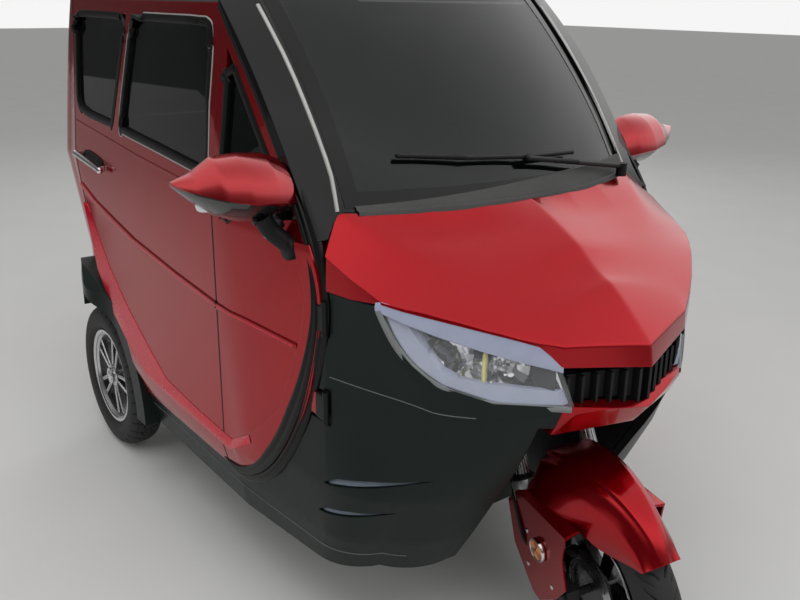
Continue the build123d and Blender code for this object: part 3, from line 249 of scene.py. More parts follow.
extra = {
    "rubber": plainFinish("sealRubber", (0.005, 0.005, 0.005), 0.42, depth=0.06, shine=0.25),
    "silverTrim": plainFinish("silverTrim", (0.42, 0.42, 0.40), 0.38, 0.4, depth=0.02),
    "bezelGrey": plainFinish("bezelGrey", (0.19, 0.20, 0.20), 0.4, depth=0.04),
    "cowlGrey": cloudedPlastic("cowlGrey", (0.045, 0.045, 0.045), (0.065, 0.065, 0.062), 900.0, 0.6, 0.3, 0.002),
    "borderBlack": plainFinish("screenBorder", (0.002, 0.002, 0.002), 0.06, depth=0.0, shine=0.3),
    "castAlloy": plainFinish("castAlloy", (0.58, 0.58, 0.60), 0.34, 0.85, depth=0.12),
    "barYellow": plainFinish("yellowGuide", (0.72, 0.66, 0.22), 0.2, coat=0.8, depth=0.02),
    # A darker copy of the reflector's amber for every other wedge: painted shade
    "shadedAmber": plainFinish("shadedAmber", (0.30, 0.055, 0.002), 0.2, coat=1.0),
    "mirrorShell": mirrorPaint(),
    "plateWhite": plainFinish("blankPlate", (0.52, 0.52, 0.50), 0.4, depth=0.02),
    # A brighter red for the door's rim and bead: a painted highlight of the sky on them
    "paintedHighlightRed": plainFinish("paintedHighlightRed", (0.62, 0.004, 0.028), 0.26, 0.4, depth=0.01, coat=0.3, edge=0.0),
    # A lighter grey for the cladding's creases: a painted highlight on their edges
    "creasePaintedHighlight": plainFinish("creaseEdgePaintedHighlight", (0.12, 0.13, 0.13), 0.4, depth=0.02),
    # A pale blue for the vent blades: a painted reflection of the sky in the vents
    "ventPaintedReflection": plainFinish("ventBladePaintedReflection", (0.16, 0.20, 0.25), 0.35, depth=0.02),
}
print("finishes made")


# A mesh from a grid of points (rows, columns, 3); a closed direction joins its last line to its first.
def gridMesh(points, closedRows=False, closedColumns=False):
    rows, columns = points.shape[:2]
    index = np.arange(rows * columns).reshape(rows, columns)
    if closedRows:
        index = np.vstack([index, index[:1]])
    if closedColumns:
        index = np.hstack([index, index[:, :1]])
    corners = np.stack([index[:-1, :-1], index[1:, :-1], index[1:, 1:], index[:-1, 1:]], -1).reshape(-1, 4)
    return points.reshape(-1, 3), corners


# The same mesh on the other side of the vehicle
def onSide(mesh, way):
    points, corners = mesh
    return (points, corners) if way < 0 else (points * np.array((1.0, -1.0, 1.0)), corners[:, ::-1])


# The same mesh under a matrix
def moved(mesh, matrix):
    points, corners = mesh
    turn = np.array(matrix)
    return points @ turn[:3, :3].T + turn[:3, 3], corners


# A finished piece that rides on its body; its faces are turned outwards.
def addPiece(name, meshes, body, slot, sharp=40.0, finish=None):
    starts = np.cumsum([0] + [len(points) for points, corners in meshes])
    points = np.vstack([points for points, corners in meshes])
    faces = np.vstack([corners + start for (_, corners), start in zip(meshes, starts)])
    mesh = bpy.data.meshes.new(name)
    mesh.from_pydata(points.tolist(), [], faces.tolist())
    shell = bmesh.new()
    shell.from_mesh(mesh)
    bmesh.ops.remove_doubles(shell, verts=shell.verts, dist=1e-6)
    bmesh.ops.recalc_face_normals(shell, faces=shell.faces)
    shell.to_mesh(mesh)
    shell.free()
    piece = bpy.data.objects.new(name, mesh)
    bpy.context.scene.collection.objects.link(piece)
    mesh.materials.append(extra[finish] if finish else finishes[slot])
    mesh.polygons.foreach_set("use_smooth", [True] * len(mesh.polygons))
    mesh.set_sharp_from_angle(angle=math.radians(sharp))
    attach(piece, body)
    return piece


# The same piece on both sides. A body that ends in _, such as door_, is the one of its side.
def addPair(name, meshes, body, *rest):
    for sideName, way in sides:
        own = body + sideName if body.endswith("_") else body
        addPiece(name + "_" + sideName, [onSide(mesh, way) for mesh in meshes], own, *rest)


# Two directions square to an axis
def squareTo(axis):
    axis = np.array(axis, float) / np.linalg.norm(axis)
    start = np.array((1.0, 0.0, 0.0)) if abs(axis[0]) < 0.9 else np.array((0.0, 0.0, 1.0))
    first = np.cross(axis, start)
    first /= np.linalg.norm(first)
    return axis, first, np.cross(axis, first)


# Turns round a full circle, as a column
def circle(steps):
    return np.linspace(0, 2 * math.pi, steps, endpoint=False)[:, None, None]


# Profile (along the axis, radius) turned round it: centre + along * axis + radius * (cos, sin)
def lathe(centre, axis, profile, steps=48, closed=True):
    axis, first, second = squareTo(axis)
    turn = circle(steps)
    profile = np.array(profile, float)
    along = profile[None, :, 0:1] * axis
    points = np.array(centre) + along + profile[None, :, 1:2] * (np.cos(turn) * first + np.sin(turn) * second)
    return gridMesh(points, True, closed)


# Bolt or boss: a cylinder from low to high, then narrower at its top
def stud(spot, axis, low, high, top, radius, small, steps):
    return lathe(spot, axis, ((low, radius), (high, radius), (top, small), (top, 0.0)), steps, False)


# Sign kept, size raised to a power
def bulged(value, power):
    return np.sign(value) * np.abs(value) ** power


# Rounded block: each half size times the bulged sine and cosine; power 1 is an ellipsoid
def pebble(centre, half, power=0.35, turn=None, steps=28):
    east = np.linspace(-math.pi, math.pi, steps, endpoint=False)[:, None]
    north = np.linspace(-math.pi / 2, math.pi / 2, steps // 2 + 1)[None, :]
    flat = bulged(np.cos(north), power)
    points = np.stack([half[0] * flat * bulged(np.cos(east), power), half[1] * flat * bulged(np.sin(east), power),
                       half[2] * bulged(np.sin(north), power) + 0 * east], -1)
    if turn is not None:
        points = points @ np.array(turn.to_3x3()).T
    return gridMesh(points + np.array(centre), True)


def turnAbout(axis, degrees):
    return Matrix.Rotation(math.radians(degrees), 4, axis)


# Points spread evenly along a chain by its length over its first columns; a count below one is a step in metres.
def evenly(chain, count, columns=None, endpoint=True):
    chain = np.array(chain, float)
    reach = np.concatenate([[0], np.cumsum(np.linalg.norm(np.diff(chain[:, :columns], axis=0), axis=1))])
    if count < 1:
        count = max(3, int(reach[-1] / count))
    places = np.linspace(0, reach[-1], count, endpoint=endpoint)
    return np.stack([np.interp(places, reach, chain[:, k]) for k in range(chain.shape[1])], -1)


# Points every few millimetres along a chain of points, its corners cut at a quarter in each round
def smoothPath(chain, step=0.006, closed=False, rounds=2):
    chain = np.array(chain, float)
    for count in range(rounds):
        ahead = np.roll(chain, -1, 0)
        cut = np.stack([0.75 * chain + 0.25 * ahead, 0.25 * chain + 0.75 * ahead], 1).reshape(-1, chain.shape[1])
        chain = cut if closed else np.vstack([chain[:1], cut[1:-3], chain[-1:]])
    if closed:
        chain = np.vstack([chain, chain[:1]])
    return evenly(chain, step, endpoint=not closed)


# Direction of a path at each of its points
def tangents(path, closed=False):
    along = np.roll(path, -1, 0) - np.roll(path, 1, 0) if closed else np.gradient(path, axis=0)
    return along / np.linalg.norm(along, axis=1)[:, None]


# Direction sideways of a path, square to its outward direction; with a middle point it leads away from it.
def sideways(path, outward, closed=False, middle=None):
    side = np.cross(tangents(path, closed), outward)
    side /= np.linalg.norm(side, axis=1)[:, None]
    if middle is not None and np.sum(side * (path - np.array(middle))) <= 0:
        side = -side
    return side


# Profile (sideways, outwards) carried along a path whose outward directions are given
def band(path, outward, profile, closed=False, middle=None):
    side = sideways(path, outward, closed, middle)
    profile = np.array(profile, float)
    points = path[:, None] + profile[None, :, 0:1] * side[:, None] + profile[None, :, 1:2] * outward[:, None]
    return gridMesh(points, closed, True)


# Round tube along a path, with flat ends closed by a fan to the middle
def tube(path, radius, steps=14):
    along = tangents(path)
    up = np.tile((0.0, 0.0, 1.0), (len(path), 1))
    up[np.abs(along[:, 2]) > 0.9] = (1.0, 0.0, 0.0)
    side = sideways(path, up)
    other = np.cross(along, side)
    turn = circle(steps)[None, :, :, 0]
    points = path[:, None] + radius * (np.cos(turn) * side[:, None] + np.sin(turn) * other[:, None])
    first = np.repeat(points[:1].mean(1, keepdims=True), steps, 1)
    last = np.repeat(points[-1:].mean(1, keepdims=True), steps, 1)
    return gridMesh(np.vstack([first, points, last]), False, True)


# Soft-edged section between two sideways places, standing so far out and so deep in; its crest leaves a fifth of
# the width on each side and its edges stand half as far out.
def strip(low, high, proud, deep):
    wide = high - low
    return ((low, -deep), (low, 0.5 * proud), (low + 0.2 * wide, proud), (high - 0.2 * wide, proud),
            (high, 0.5 * proud), (high, -deep))


# The skin of some CAD nodes, on which points are dropped along a direction. Where a ray misses, the place nearest to
# a point 10 cm along it stands in, and the outward directions are smoothed along the path.
class Skin:
    def __init__(self, *names):
        points, faces = [], []
        for name in names:
            mesh = frame["nodes"][name].data
            start = len(points)
            points += [vertex.co.copy() for vertex in mesh.vertices]
            faces += [[start + index for index in polygon.vertices] for polygon in mesh.polygons]
        self.tree = BVHTree.FromPolygons(points, faces)

    def drop(self, starts, direction):
        direction = Vector(direction)
        places, outward = [], []
        for start in starts:
            place, normal = self.tree.ray_cast(Vector(start), direction)[:2]
            if place is None:
                place, normal = self.tree.find_nearest(Vector(start) + 0.1 * direction)[:2]
            places.append(place)
            outward.append(normal if normal.dot(direction) < 0 else -normal)
        outward = np.array(outward, float)
        for count in range(3):
            outward = outward + np.roll(outward, 1, 0) + np.roll(outward, -1, 0)
            outward /= np.linalg.norm(outward, axis=1)[:, None]
        return np.array(places, float), outward

    # A flat line dropped along an axis (0 is x, 1 is y) from a place on it; it keeps its flat shape.
    def land(self, flat, axis, start):
        direction = np.zeros(3)
        direction[axis] = -np.sign(start)
        path, outward = self.drop(np.insert(flat, axis, start, 1), direction)
        path[:, [k for k in range(3) if k != axis]] = flat
        return path, outward


# Where rays start: beside the vehicle on its right, behind it and ahead of it, and how far off a line near its skin
outside = {"right": -0.75, "back": -1.4, "front": 1.4, "near": 0.25}


# A side outline (x, z) dropped on the right side of the vehicle
def onRightSide(skin, chain, closed=False, step=0.008, rounds=2):
    return skin.land(smoothPath(chain, step, closed, rounds), 1, outside["right"])


# CAD nodes keep their shape; welding and a split at sharp edges give them smooth shading.
shading = {"weld": 0.00005, "split": 32.0}
ownFinish = {"mirror_right": "mirrorShell", "mirror_left": "mirrorShell"}


def dressNodes():
    slots = {entry["node"]: entry["material_slot"] for entry in frame["record"]["subparts"]}
    for name, node in frame["nodes"].items():
        node.data.materials.clear()
        node.data.materials.append(extra[ownFinish[name]] if name in ownFinish else finishes[slots[name]])
        node.modifiers.new("weld", "WELD").merge_threshold = shading["weld"]
        node.modifiers.new("edges", "EDGE_SPLIT").split_angle = math.radians(shading["split"])
        node.data.polygons.foreach_set("use_smooth", [True] * len(node.data.polygons))


dressNodes()
print("nodes dressed")

# The front end is drawn straight ahead and then turned to where it is parked.
steering = {"place": (0.7215, 0.0, 0.5), "rake": 24.5, "parked": -15.7, "legBack": 0.032, "legY": 0.093}
rake = math.radians(steering["rake"])
slope = np.array((-math.sin(rake), 0.0, math.cos(rake)))
square = np.array((math.cos(rake), 0.0, math.sin(rake)))
pivot = Matrix.Translation(steering["place"])
parkedTurn = pivot @ turnAbout(Vector(slope), steering["parked"]) @ pivot.inverted()
spins = {joint["name"]: joint for joint in frame["joints"]}
frontAxle = np.array(parkedTurn.inverted() @ Vector(spins["front_wheel_spin"]["pos_m"]))


# Point on a fork leg: the steering axis's place, less the leg's set-back, plus a height along the slope
def upLeg(height, y):
    base = np.array(steering["place"]) - square * steering["legBack"] + slope * height
    return np.array((base[0], y, base[2]))


# A piece of the front end, drawn straight ahead
def addSteered(name, meshes, body, *rest):
    return addPiece(name, [moved(mesh, parkedTurn) for mesh in meshes], body, *rest)


def softStep(value, width):
    share = np.clip(value / width + 0.5, 0, 1)
    return share * share * (3 - 2 * share)


# Tyres: the section is a superellipse, cos and sin to the power 2 / fullness; the tread is cut inwards from it.
# A groove is its half width and softness, where it starts and ends across with their softness, and its share of depth.
rearTyre = {"middle": 0.196, "height": 0.044, "half": 0.054, "fullness": 2.7, "rows": 660, "crown": 64,
            "depth": 0.0055, "blocks": 34, "zigzag": 0.0035, "centre": 0.012, "outer": 0.034, "bend": (0.010, 0.022),
            "grooves": {"lateral": (0.0026, 0.002, 0.014, 0.003, 0.060, 0.006, 1.0),
                        "zigzag": (0.0022, 0.0018, -1, 1, 1, 1, 1.0),
                        "middle": (0.0014, 0.002, -1, 1, 0.009, 0.003, 0.6),
                        "outer": (0.0016, 0.0016, -1, 1, 1, 1, 0.5)}}
frontTyre = {"middle": 0.196, "height": 0.044, "half": 0.045, "fullness": 2.35, "rows": 600, "crown": 60,
             "depth": 0.0045, "blocks": 26, "lean": 1.5, "bend": (0.004, 0.007),
             "grooves": {"long": (0.0022, 0.0018, 0.006, 0.003, 0.043, 0.005, 1.0),
                         "short": (0.0016, 0.0016, 0.020, 0.003, 0.046, 0.004, 0.8)}}
tyreForm = {"radius": 0.24, "span": (-84, 264), "crownEdge": 0.062, "sideSteps": 14, "rings": (0.070, 0.082),
            "ringHalf": 0.0015, "ringHigh": 0.0008}


def groove(distance, out, row):
    half, soft, start, startSoft, end, endSoft, share = row
    return share * softStep(half - distance, soft) * softStep(out - start, startSoft) * softStep(end - out, endSoft)


def toNearest(phase):
    return np.abs(phase - np.round(phase))


# Lateral grooves, half a block apart on the two sides, and a zigzag groove on each side of the crown
def blockGrooves(around, across, look):
    pitch = 2 * math.pi * tyreForm["radius"] / look["blocks"]
    out, rows = np.abs(across), look["grooves"]
    phase = (around + look["bend"][0] * np.sin(out / look["bend"][1])) / pitch + np.where(across > 0, 0.5, 0.0)
    wave = around / pitch - np.floor(around / pitch)
    track = look["centre"] + look["zigzag"] * (np.abs(wave - 0.5) * 4 - 1)
    return np.maximum.reduce([groove(toNearest(phase) * pitch, out, rows["lateral"]),
                              groove(np.abs(out - track), out, rows["zigzag"]),
                              groove(toNearest(phase) * pitch, out, rows["middle"]),
                              groove(np.abs(out - look["outer"]), out, rows["outer"])])


# Slanting grooves that run back from a plain middle band, each beside a shorter one
def chevronGrooves(around, across, look):
    pitch = 2 * math.pi * tyreForm["radius"] / look["blocks"]
    out, rows = np.abs(across), look["grooves"]
    phase = (around + look["lean"] * out + look["bend"][0] * np.sin(out / look["bend"][1])) / pitch
    return np.maximum(groove(toNearest(phase) * pitch, out, rows["long"]),
                      groove(toNearest(phase + 0.5) * pitch, out, rows["short"]))


def tyreMesh(centre, look, grooves):
    axis, first, second = squareTo((0, 1, 0))
    fine = np.radians(np.linspace(*tyreForm["span"], 4001))
    power = 2 / look["fullness"]
    side = look["half"] * bulged(np.cos(fine), power)
    reach = look["middle"] + look["height"] * bulged(np.sin(fine), power)
    length = np.concatenate([[0], np.cumsum(np.hypot(np.diff(side), np.diff(reach)))])
    half, edge, steps = length[-1] / 2, tyreForm["crownEdge"], tyreForm["sideSteps"]
    places = np.concatenate([np.linspace(0, half - edge, steps)[:-1],
                             np.linspace(half - edge, half + edge, look["crown"]),
                             np.linspace(half + edge, length[-1], steps)[1:]])
    side, reach = np.interp(places, length, side), np.interp(places, length, reach)
    outX, outY = np.gradient(reach, places), -np.gradient(side, places)
    turn = circle(look["rows"])[..., 0]
    across = (half - places)[None, :]
    depth = grooves(turn * tyreForm["radius"], across + 0 * turn, look) * look["depth"]
    for ring in tyreForm["rings"]:
        near = tyreForm["ringHalf"] - np.abs(np.abs(across) - ring)
        depth = depth - tyreForm["ringHigh"] * softStep(near, tyreForm["ringHalf"])
    out = (side - depth * outX)[:, :, None] * axis
    spin = np.cos(turn)[:, :, None] * first + np.sin(turn)[:, :, None] * second
    return gridMesh(np.array(centre) + out + (reach - depth * outY)[:, :, None] * spin, True, True)


for sideName, way in sides:
    hub = spins["rear_wheel_" + sideName + "_spin"]["pos_m"]
    tread = addPiece("rear_tread_" + sideName, [tyreMesh(hub, rearTyre, blockGrooves)], "rear_wheel_" + sideName,
                     "tyre_rubber", 80)
    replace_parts(tread, "rear_tyre_" + sideName)
tread = addSteered("front_tread", [tyreMesh(frontAxle, frontTyre, chevronGrooves)], "front_wheel", "tyre_rubber", 80)
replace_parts(tread, "front_tyre")
print("tyres made")

# Rear wheels: a bright lip at the rim's edge, a dark dish behind the spokes, a hub cap with its nuts, and bright
# tracks on the spokes. A row is a distance out from the wheel's middle and a radius; a track goes from one reach and
# spread to the other.
rearWheel = {"lip": ((0.0400, 0.1455), (0.0435, 0.1490), (0.0450, 0.1535), (0.0440, 0.158), (0.0400, 0.160),
                     (0.034, 0.157), (0.032, 0.150)),
             "dish": ((0.012, 0.030), (0.013, 0.060), (0.011, 0.110), (0.020, 0.128), (0.032, 0.137), (0.028, 0.139),
                      (0.008, 0.128), (0.004, 0.030)),
             "cap": ((0.042, 0.0), (0.051, 0.004), (0.050, 0.013), (0.047, 0.0175), (0.0445, 0.018), (0.044, 0.024),
                     (0.041, 0.0265), (0.030, 0.027), (0.030, 0.0)),
             "groove": ((0.0335, 0.030), (0.036, 0.034), (0.0335, 0.038), (0.030, 0.034)),
             "nuts": 5, "nutRing": 0.0295, "nut": (0.030, 0.0375, 0.039, 0.0052, 0.004, 6),
             "spokes": 5, "track": ((0.040, 0.010), (0.128, 0.0235)), "trackOut": 0.0325, "trackPoints": 6,
             "trackSection": ((-0.0042, -0.002), (-0.0030, 0.0012), (0.0, 0.0002), (0.0030, 0.0012),
                              (0.0042, -0.002))}


# Points evenly round a wheel's centre; the first stands a share of a step on
def roundWheel(centre, radius, count, shift=0.0):
    turns = 2 * math.pi * (np.arange(count) + shift) / count
    return centre + radius * np.stack([np.cos(turns), 0 * turns, np.sin(turns)], -1)


def addRearWheels():
    centre = np.array(spins["rear_wheel_right_spin"]["pos_m"])
    outward = np.array((0.0, -1.0, 0.0))
    addPair("rear_rim_lip", [lathe(centre, outward, rearWheel["lip"], 120)], "rear_wheel_", "machined_alloy")
    addPair("rear_rim_dish", [lathe(centre, outward, rearWheel["dish"], 96)], "rear_wheel_", "black_alloy")
    parts = [lathe(centre, outward, rearWheel["cap"], 60, False), lathe(centre, outward, rearWheel["groove"], 60)]
    spots = roundWheel(centre, rearWheel["nutRing"], rearWheel["nuts"], 0.5)
    addPair("hub_cap", parts + [stud(spot, outward, *rearWheel["nut"]) for spot in spots], "rear_wheel_", "chrome")
    tracks = []
    for turn in 2 * math.pi * np.arange(rearWheel["spokes"]) / rearWheel["spokes"]:
        radial = np.array((math.cos(turn), 0, -math.sin(turn)))
        across = np.array((math.sin(turn), 0, math.cos(turn)))
        for lean in (-1, 1):
            near, far = (centre + radial * reach + across * lean * spread for reach, spread in rearWheel["track"])
            line = np.linspace(near, far, rearWheel["trackPoints"]) + rearWheel["trackOut"] * outward
            tracks.append(band(line, np.tile(outward, (len(line), 1)), rearWheel["trackSection"]))
    addPair("spoke_faces", tracks, "rear_wheel_", "machined_alloy", 20)


addRearWheels()

# Front wheel: bright rim edges and the brake disc's drilled face
frontWheel = {"lip": ((0.030, 0.145), (0.036, 0.150), (0.0400, 0.1535), (0.0405, 0.157), (0.0375, 0.1585),
                      (0.032, 0.155)),
              "disc": ((0.0448, 0.066), (0.0492, 0.066), (0.0492, 0.0975), (0.0448, 0.0975)),
              "hole": ((0.0494, 0.0), (0.0494, 0.0032), (0.0480, 0.0032)), "holes": 24, "rings": (0.078, 0.090)}


def addFrontWheel():
    edges = [lathe(frontAxle, (0, way, 0), frontWheel["lip"], 120) for way in (-1, 1)]
    addSteered("front_rim_edges", edges, "front_wheel", "machined_alloy")
    disc = lathe(frontAxle, (0, -1, 0), frontWheel["disc"], 96)
    addSteered("brake_disc_face", [disc], "front_wheel", "bright_steel")
    reach = np.resize(frontWheel["rings"], frontWheel["holes"])[:, None]
    dots = [lathe(spot, (0, -1, 0), frontWheel["hole"], 10, False)
            for spot in roundWheel(frontAxle, reach, frontWheel["holes"])]
    addSteered("brake_disc_holes", dots, "front_wheel", "black_alloy")


addFrontWheel()
print("wheels made")

# Seals and trim lie on the skins of the body. Outlines are seen from the side, in metres (x, z). Each section row is
# a place outwards from the window's middle and a height over the skin.
outlines = {
    "main": ((-0.453, 1.126), (-0.449, 1.108), (-0.434, 1.102), (-0.180, 1.0865), (0.078, 1.068), (0.092, 1.074),
             (0.096, 1.086), (0.096, 1.240), (0.096, 1.385), (0.072, 1.405), (-0.150, 1.405), (-0.362, 1.405),
             (-0.410, 1.260)),
    "rear": ((-0.520, 1.108), (-0.504, 1.113), (-0.500, 1.126), (-0.450, 1.262), (-0.398, 1.405), (-0.600, 1.405),
             (-0.786, 1.405), (-0.806, 1.380), (-0.806, 1.280), (-0.806, 1.176), (-0.793, 1.147), (-0.764, 1.128),
             (-0.721, 1.117), (-0.620, 1.1125)),
    "quarter": ((0.160, 0.983), (0.160, 1.170), (0.160, 1.352), (0.244, 1.252), (0.352, 1.118), (0.436, 1.030),
                (0.300, 1.007)),
}
seals = {"outwards": 0.0015, "rubber": strip(-0.015, 0.003, 0.0022, 0.008),
         "silver": strip(0.003, 0.0065, 0.0016, 0.003)}
doorSkin = Skin("door_main_right", "door_front_right")


# Pushes a flat outline outwards from its middle by a distance
def pushed(chain, distance):
    along = tangents(chain, True)
    normal = np.stack([along[:, 1], -along[:, 0]], -1)
    area = np.sum(chain[:, 0] * np.roll(chain[:, 1], -1) - np.roll(chain[:, 0], -1) * chain[:, 1])
    return chain + normal * distance * (1 if area > 0 else -1)


def windowSeals():
    for name, outline in outlines.items():
        flat = pushed(smoothPath(outline, 0.006, True), seals["outwards"])
        path, outward = doorSkin.drop(np.insert(flat, 1, outside["right"], 1), (0, 1, 0))
        rubber, silver = (band(path, outward, seals[part], True, path.mean(0)) for part in ("rubber", "silver"))
        addPair(name + "_window_seal", [rubber], "door_", "black_plastic", 60, "rubber")
        if name == "main":
            addPair(name + "_window_line", [silver], "door_", "black_plastic", 60, "silverTrim")


windowSeals()

# The gap round the door: a stepped rubber in front and below, and a thin one up the pillar. Each profile
# row is a distance away from the door's edge and a height over its skin.
doorMiddle = np.array((-0.1, -0.54, 0.9))
doorGap = {
    "front": (((0.392, 1.108), (0.436, 1.058), (0.468, 1.019), (0.500, 0.968), (0.521, 0.880), (0.509, 0.780),
               (0.474, 0.660), (0.423, 0.548), (0.362, 0.460), (0.298, 0.402), (0.235, 0.371), (0.181, 0.358),
               (0.100, 0.3535)),
              ((0.001, -0.016), (0.001, -0.0012), (0.004, 0.0006), (0.009, 0.0), (0.011, -0.004), (0.015, -0.0045),
               (0.020, -0.006), (0.0235, -0.009), (0.0235, -0.016))),
    "foot": (((0.100, 0.3535), (-0.100, 0.3505), (-0.300, 0.3455), (-0.425, 0.3435)),
             ((0.001, -0.016), (0.001, -0.002), (0.008, -0.006), (0.010, -0.010), (0.010, -0.016))),
    "pillar": (((0.108, 1.432), (0.143, 1.396), (0.276, 1.257), (0.384, 1.117), (0.392, 1.108)),
               ((0.001, -0.010), (0.001, 0.0008), (0.004, 0.0016), (0.008, 0.0012), (0.0095, -0.002),
                (0.0095, -0.010))),
}


# Values along a path smoothed by a curve of the fourth degree
def calm(place, values):
    return np.polyval(np.polyfit(place, values, 4), place)


# A line dropped on the door, its sideways place smoothed, with one outward direction
def calmPath(chain):
    path, outward = onRightSide(doorSkin, chain)
    path[:, 1] = calm(np.linspace(0, 1, len(path)), path[:, 1])
    middle = np.median(outward, axis=0)
    return path, np.tile(middle / np.linalg.norm(middle), (len(path), 1))


def doorSeals():
    for name, (chain, rows) in doorGap.items():
        path, outward = calmPath(chain)
        seal = band(path, outward, rows, False, doorMiddle)
        addPair("door_gap_" + name, [seal], "root", "black_plastic", 50, "rubber")


doorSeals()

# Rubber on the door's own edge, wider low down than at the top; each row is a place on the path and a width.
edgeRubber = {"chain": doorGap["front"][0], "width": ((0.0, 0.004), (0.12, 0.008), (0.30, 0.014), (0.55, 0.034),
                                                     (0.72, 0.034), (0.86, 0.020), (1.0, 0.006)),
              "section": ((0.0, -0.004), (0.0, 0.0022), (0.10, 0.0036), (0.30, 0.0036), (0.40, 0.0016), (0.52, 0.0016),
                          (0.62, 0.0034), (0.88, 0.0034), (1.0, 0.0016), (1.0, -0.002)), "inset": 0.004}


def edgeRubbers():
    path, outward = calmPath(edgeRubber["chain"])
    place = np.linspace(0, 1, len(path))
    width = np.interp(place, *np.array(edgeRubber["width"]).T)[:, None, None]
    side = np.cross(tangents(path), outward)
    side *= -np.sign(np.sum(side * (path - doorMiddle)))
    section = np.array(edgeRubber["section"])[None]
    inner = path[:, None] + (1 - section[..., 0:1]) * width * side[:, None]
    landed = doorSkin.drop(np.insert(inner[:, 0, ::2], 1, outside["right"], 1), (0, 1, 0))[0]
    inset = np.minimum(landed[:, 1], path[:, 1] + edgeRubber["inset"]) - path[:, 1]
    inner[..., 1] += (1 - section[..., 0]) * calm(place, inset)[:, None]
    rubber = gridMesh(inner + section[..., 1:2] * outward[:, None], False, True)
    addPair("door_edge_rubber", [rubber], "door_", "black_plastic", 60, "rubber")


edgeRubbers()

# Covers over the hinges in the gap: a pin and a rounded plate ahead of the door
hingeLook = {"line": (0.536, -0.506), "low": (0.619, 0.814), "long": 0.072, "radius": 0.0068,
             "plate": (0.521, -0.5065, 0.036), "half": (0.016, 0.0062, 0.029)}


def hingeCovers():
    parts, (x, y, up) = [], hingeLook["plate"]
    long, radius = hingeLook["long"], hingeLook["radius"]
    for low in hingeLook["low"]:
        pin = ((0.0, 0.0), (0.0, radius), (long, radius), (long, 0.0))
        parts += [lathe((*hingeLook["line"], low), (0, 0, 1), pin, 24, False),
                  pebble((x, y, low + up), hingeLook["half"], 0.3)]
    addPair("hinge_cover", parts, "door_", "black_plastic", 40, "rubber")


hingeCovers()

# A dark joint between the two panels of each door. It is dropped a little beside its place and moved back.
seamLine = {"x": 0.125, "low": 0.352, "high": 1.060, "points": 30, "half": 0.0022, "beside": 0.012, "deep": 0.002,
            "proud": 0.0007}


def doorSeams():
    beside = [(seamLine["x"] + seamLine["beside"], z)
              for z in np.linspace(seamLine["low"], seamLine["high"], seamLine["points"])]
    path = onRightSide(doorSkin, beside, step=0.006, rounds=0)[0] - np.array((seamLine["beside"], 0, 0))
    half, deep, proud = (seamLine[key] for key in ("half", "deep", "proud"))
    section = np.array(((-half, deep, 0), (-half, -proud, 0), (half, -proud, 0), (half, deep, 0)))
    groove = gridMesh(path[:, None] + section[None], False, True)
    addPair("panel_joint", [groove], "door_", "black_plastic", 30, "rubber")


doorSeams()

# Lit faces of the pressed rim (crest x and z, foot x and z) and of the bead across the door, in a painted highlight
# red
rimLine = ((-0.764, 0.850, -0.756, 0.848), (-0.726, 0.755, -0.688, 0.770), (-0.678, 0.640, -0.602, 0.680),
           (-0.589, 0.535, -0.476, 0.590), (-0.450, 0.462, -0.320, 0.505), (-0.338, 0.420, -0.218, 0.456),
           (-0.119, 0.411, -0.015, 0.443), (0.165, 0.409, 0.172, 0.440), (0.270, 0.470, 0.262, 0.490))
rimLook = {"rows": (0.03, 0.2, 0.4, 0.6, 0.8, 0.97), "proud": 0.0012, "tuck": 0.004}
beadLine = {"chain": ((-0.795, 0.9015), (-0.677, 0.8665), (-0.524, 0.8375), (-0.382, 0.8125), (-0.110, 0.7855),
                      (0.119, 0.7695), (0.261, 0.7675), (0.432, 0.7590)), "half": 0.0028, "proud": 0.0012}


# Section of a raised line: its foot in the skin, its crest a share of the half width
def lineSection(half, proud, crest):
    return (-half, -0.002), (-half * crest, proud), (half * crest, proud), (half, -0.002)


def addDoorLines():
    both = smoothPath(rimLine, 0.006, rounds=0)
    rows = []
    for share in rimLook["rows"]:
        line = both[:, :2] * (1 - share) + both[:, 2:] * share
        rows.append(doorSkin.land(line, 1, outside["right"])[0] - np.array((0, rimLook["proud"], 0)))
    tuck = np.array((0, rimLook["tuck"], 0))
    rim = gridMesh(np.stack([rows[0] + tuck, *rows, rows[-1] + tuck]))
    # The rim and the bead are drawn in a brighter red than the paint, a painted highlight
    addPair("rim_bevel", [rim], "door_", "candy_red", 60, "paintedHighlightRed")
    path, outward = onRightSide(doorSkin, beadLine["chain"])
    bead = band(path, outward, lineSection(beadLine["half"], beadLine["proud"], 0.5))
    addPair("bead_line", [bead], "door_", "candy_red", 60, "paintedHighlightRed")


addDoorLines()

# Screen: a silver line up each side and a black painted border on the glass, its rows leading in from the outline
screenLook = {"line": ((0.481, -0.4365, 1.046), (0.461, -0.431, 1.083), (0.441, -0.4265, 1.120),
                       (0.369, -0.4262, 1.220), (0.284, -0.4255, 1.320), (0.201, -0.4265, 1.400),
                       (0.160, -0.4265, 1.436)), "facing": (0.72, -0.45, 0.53),
              "strip": (-0.005, 0.004, 0.0035, 0.003),
              "border": ((-0.417, 1.050), (-0.4155, 1.150), (-0.410, 1.300), (-0.404, 1.494), (0.0, 1.494),
                         (0.404, 1.494), (0.410, 1.300), (0.4155, 1.150), (0.417, 1.050), (0.0, 1.050)),
              "section": ((0.0, -0.001), (0.0, 0.0008), (-0.034, 0.0008), (-0.034, -0.001))}


def screenTrim():
    line = smoothPath(screenLook["line"], 0.012, False, 1)
    outward = np.tile(np.array(screenLook["facing"]) / np.linalg.norm(screenLook["facing"]), (len(line), 1))
    silver = band(line, outward, strip(*screenLook["strip"]))
    addPair("screen_line", [silver], "root", "black_plastic", 50, "silverTrim")
    flat = smoothPath(screenLook["border"], 0.02, True, 0)
    path, outward = Skin("windscreen").land(flat, 0, outside["front"])
    border = band(path, outward, screenLook["section"], True, path.mean(0))
    addPiece("screen_border", [border], "root", "black_gloss", 40, "borderBlack")


screenTrim()
print("seals made")

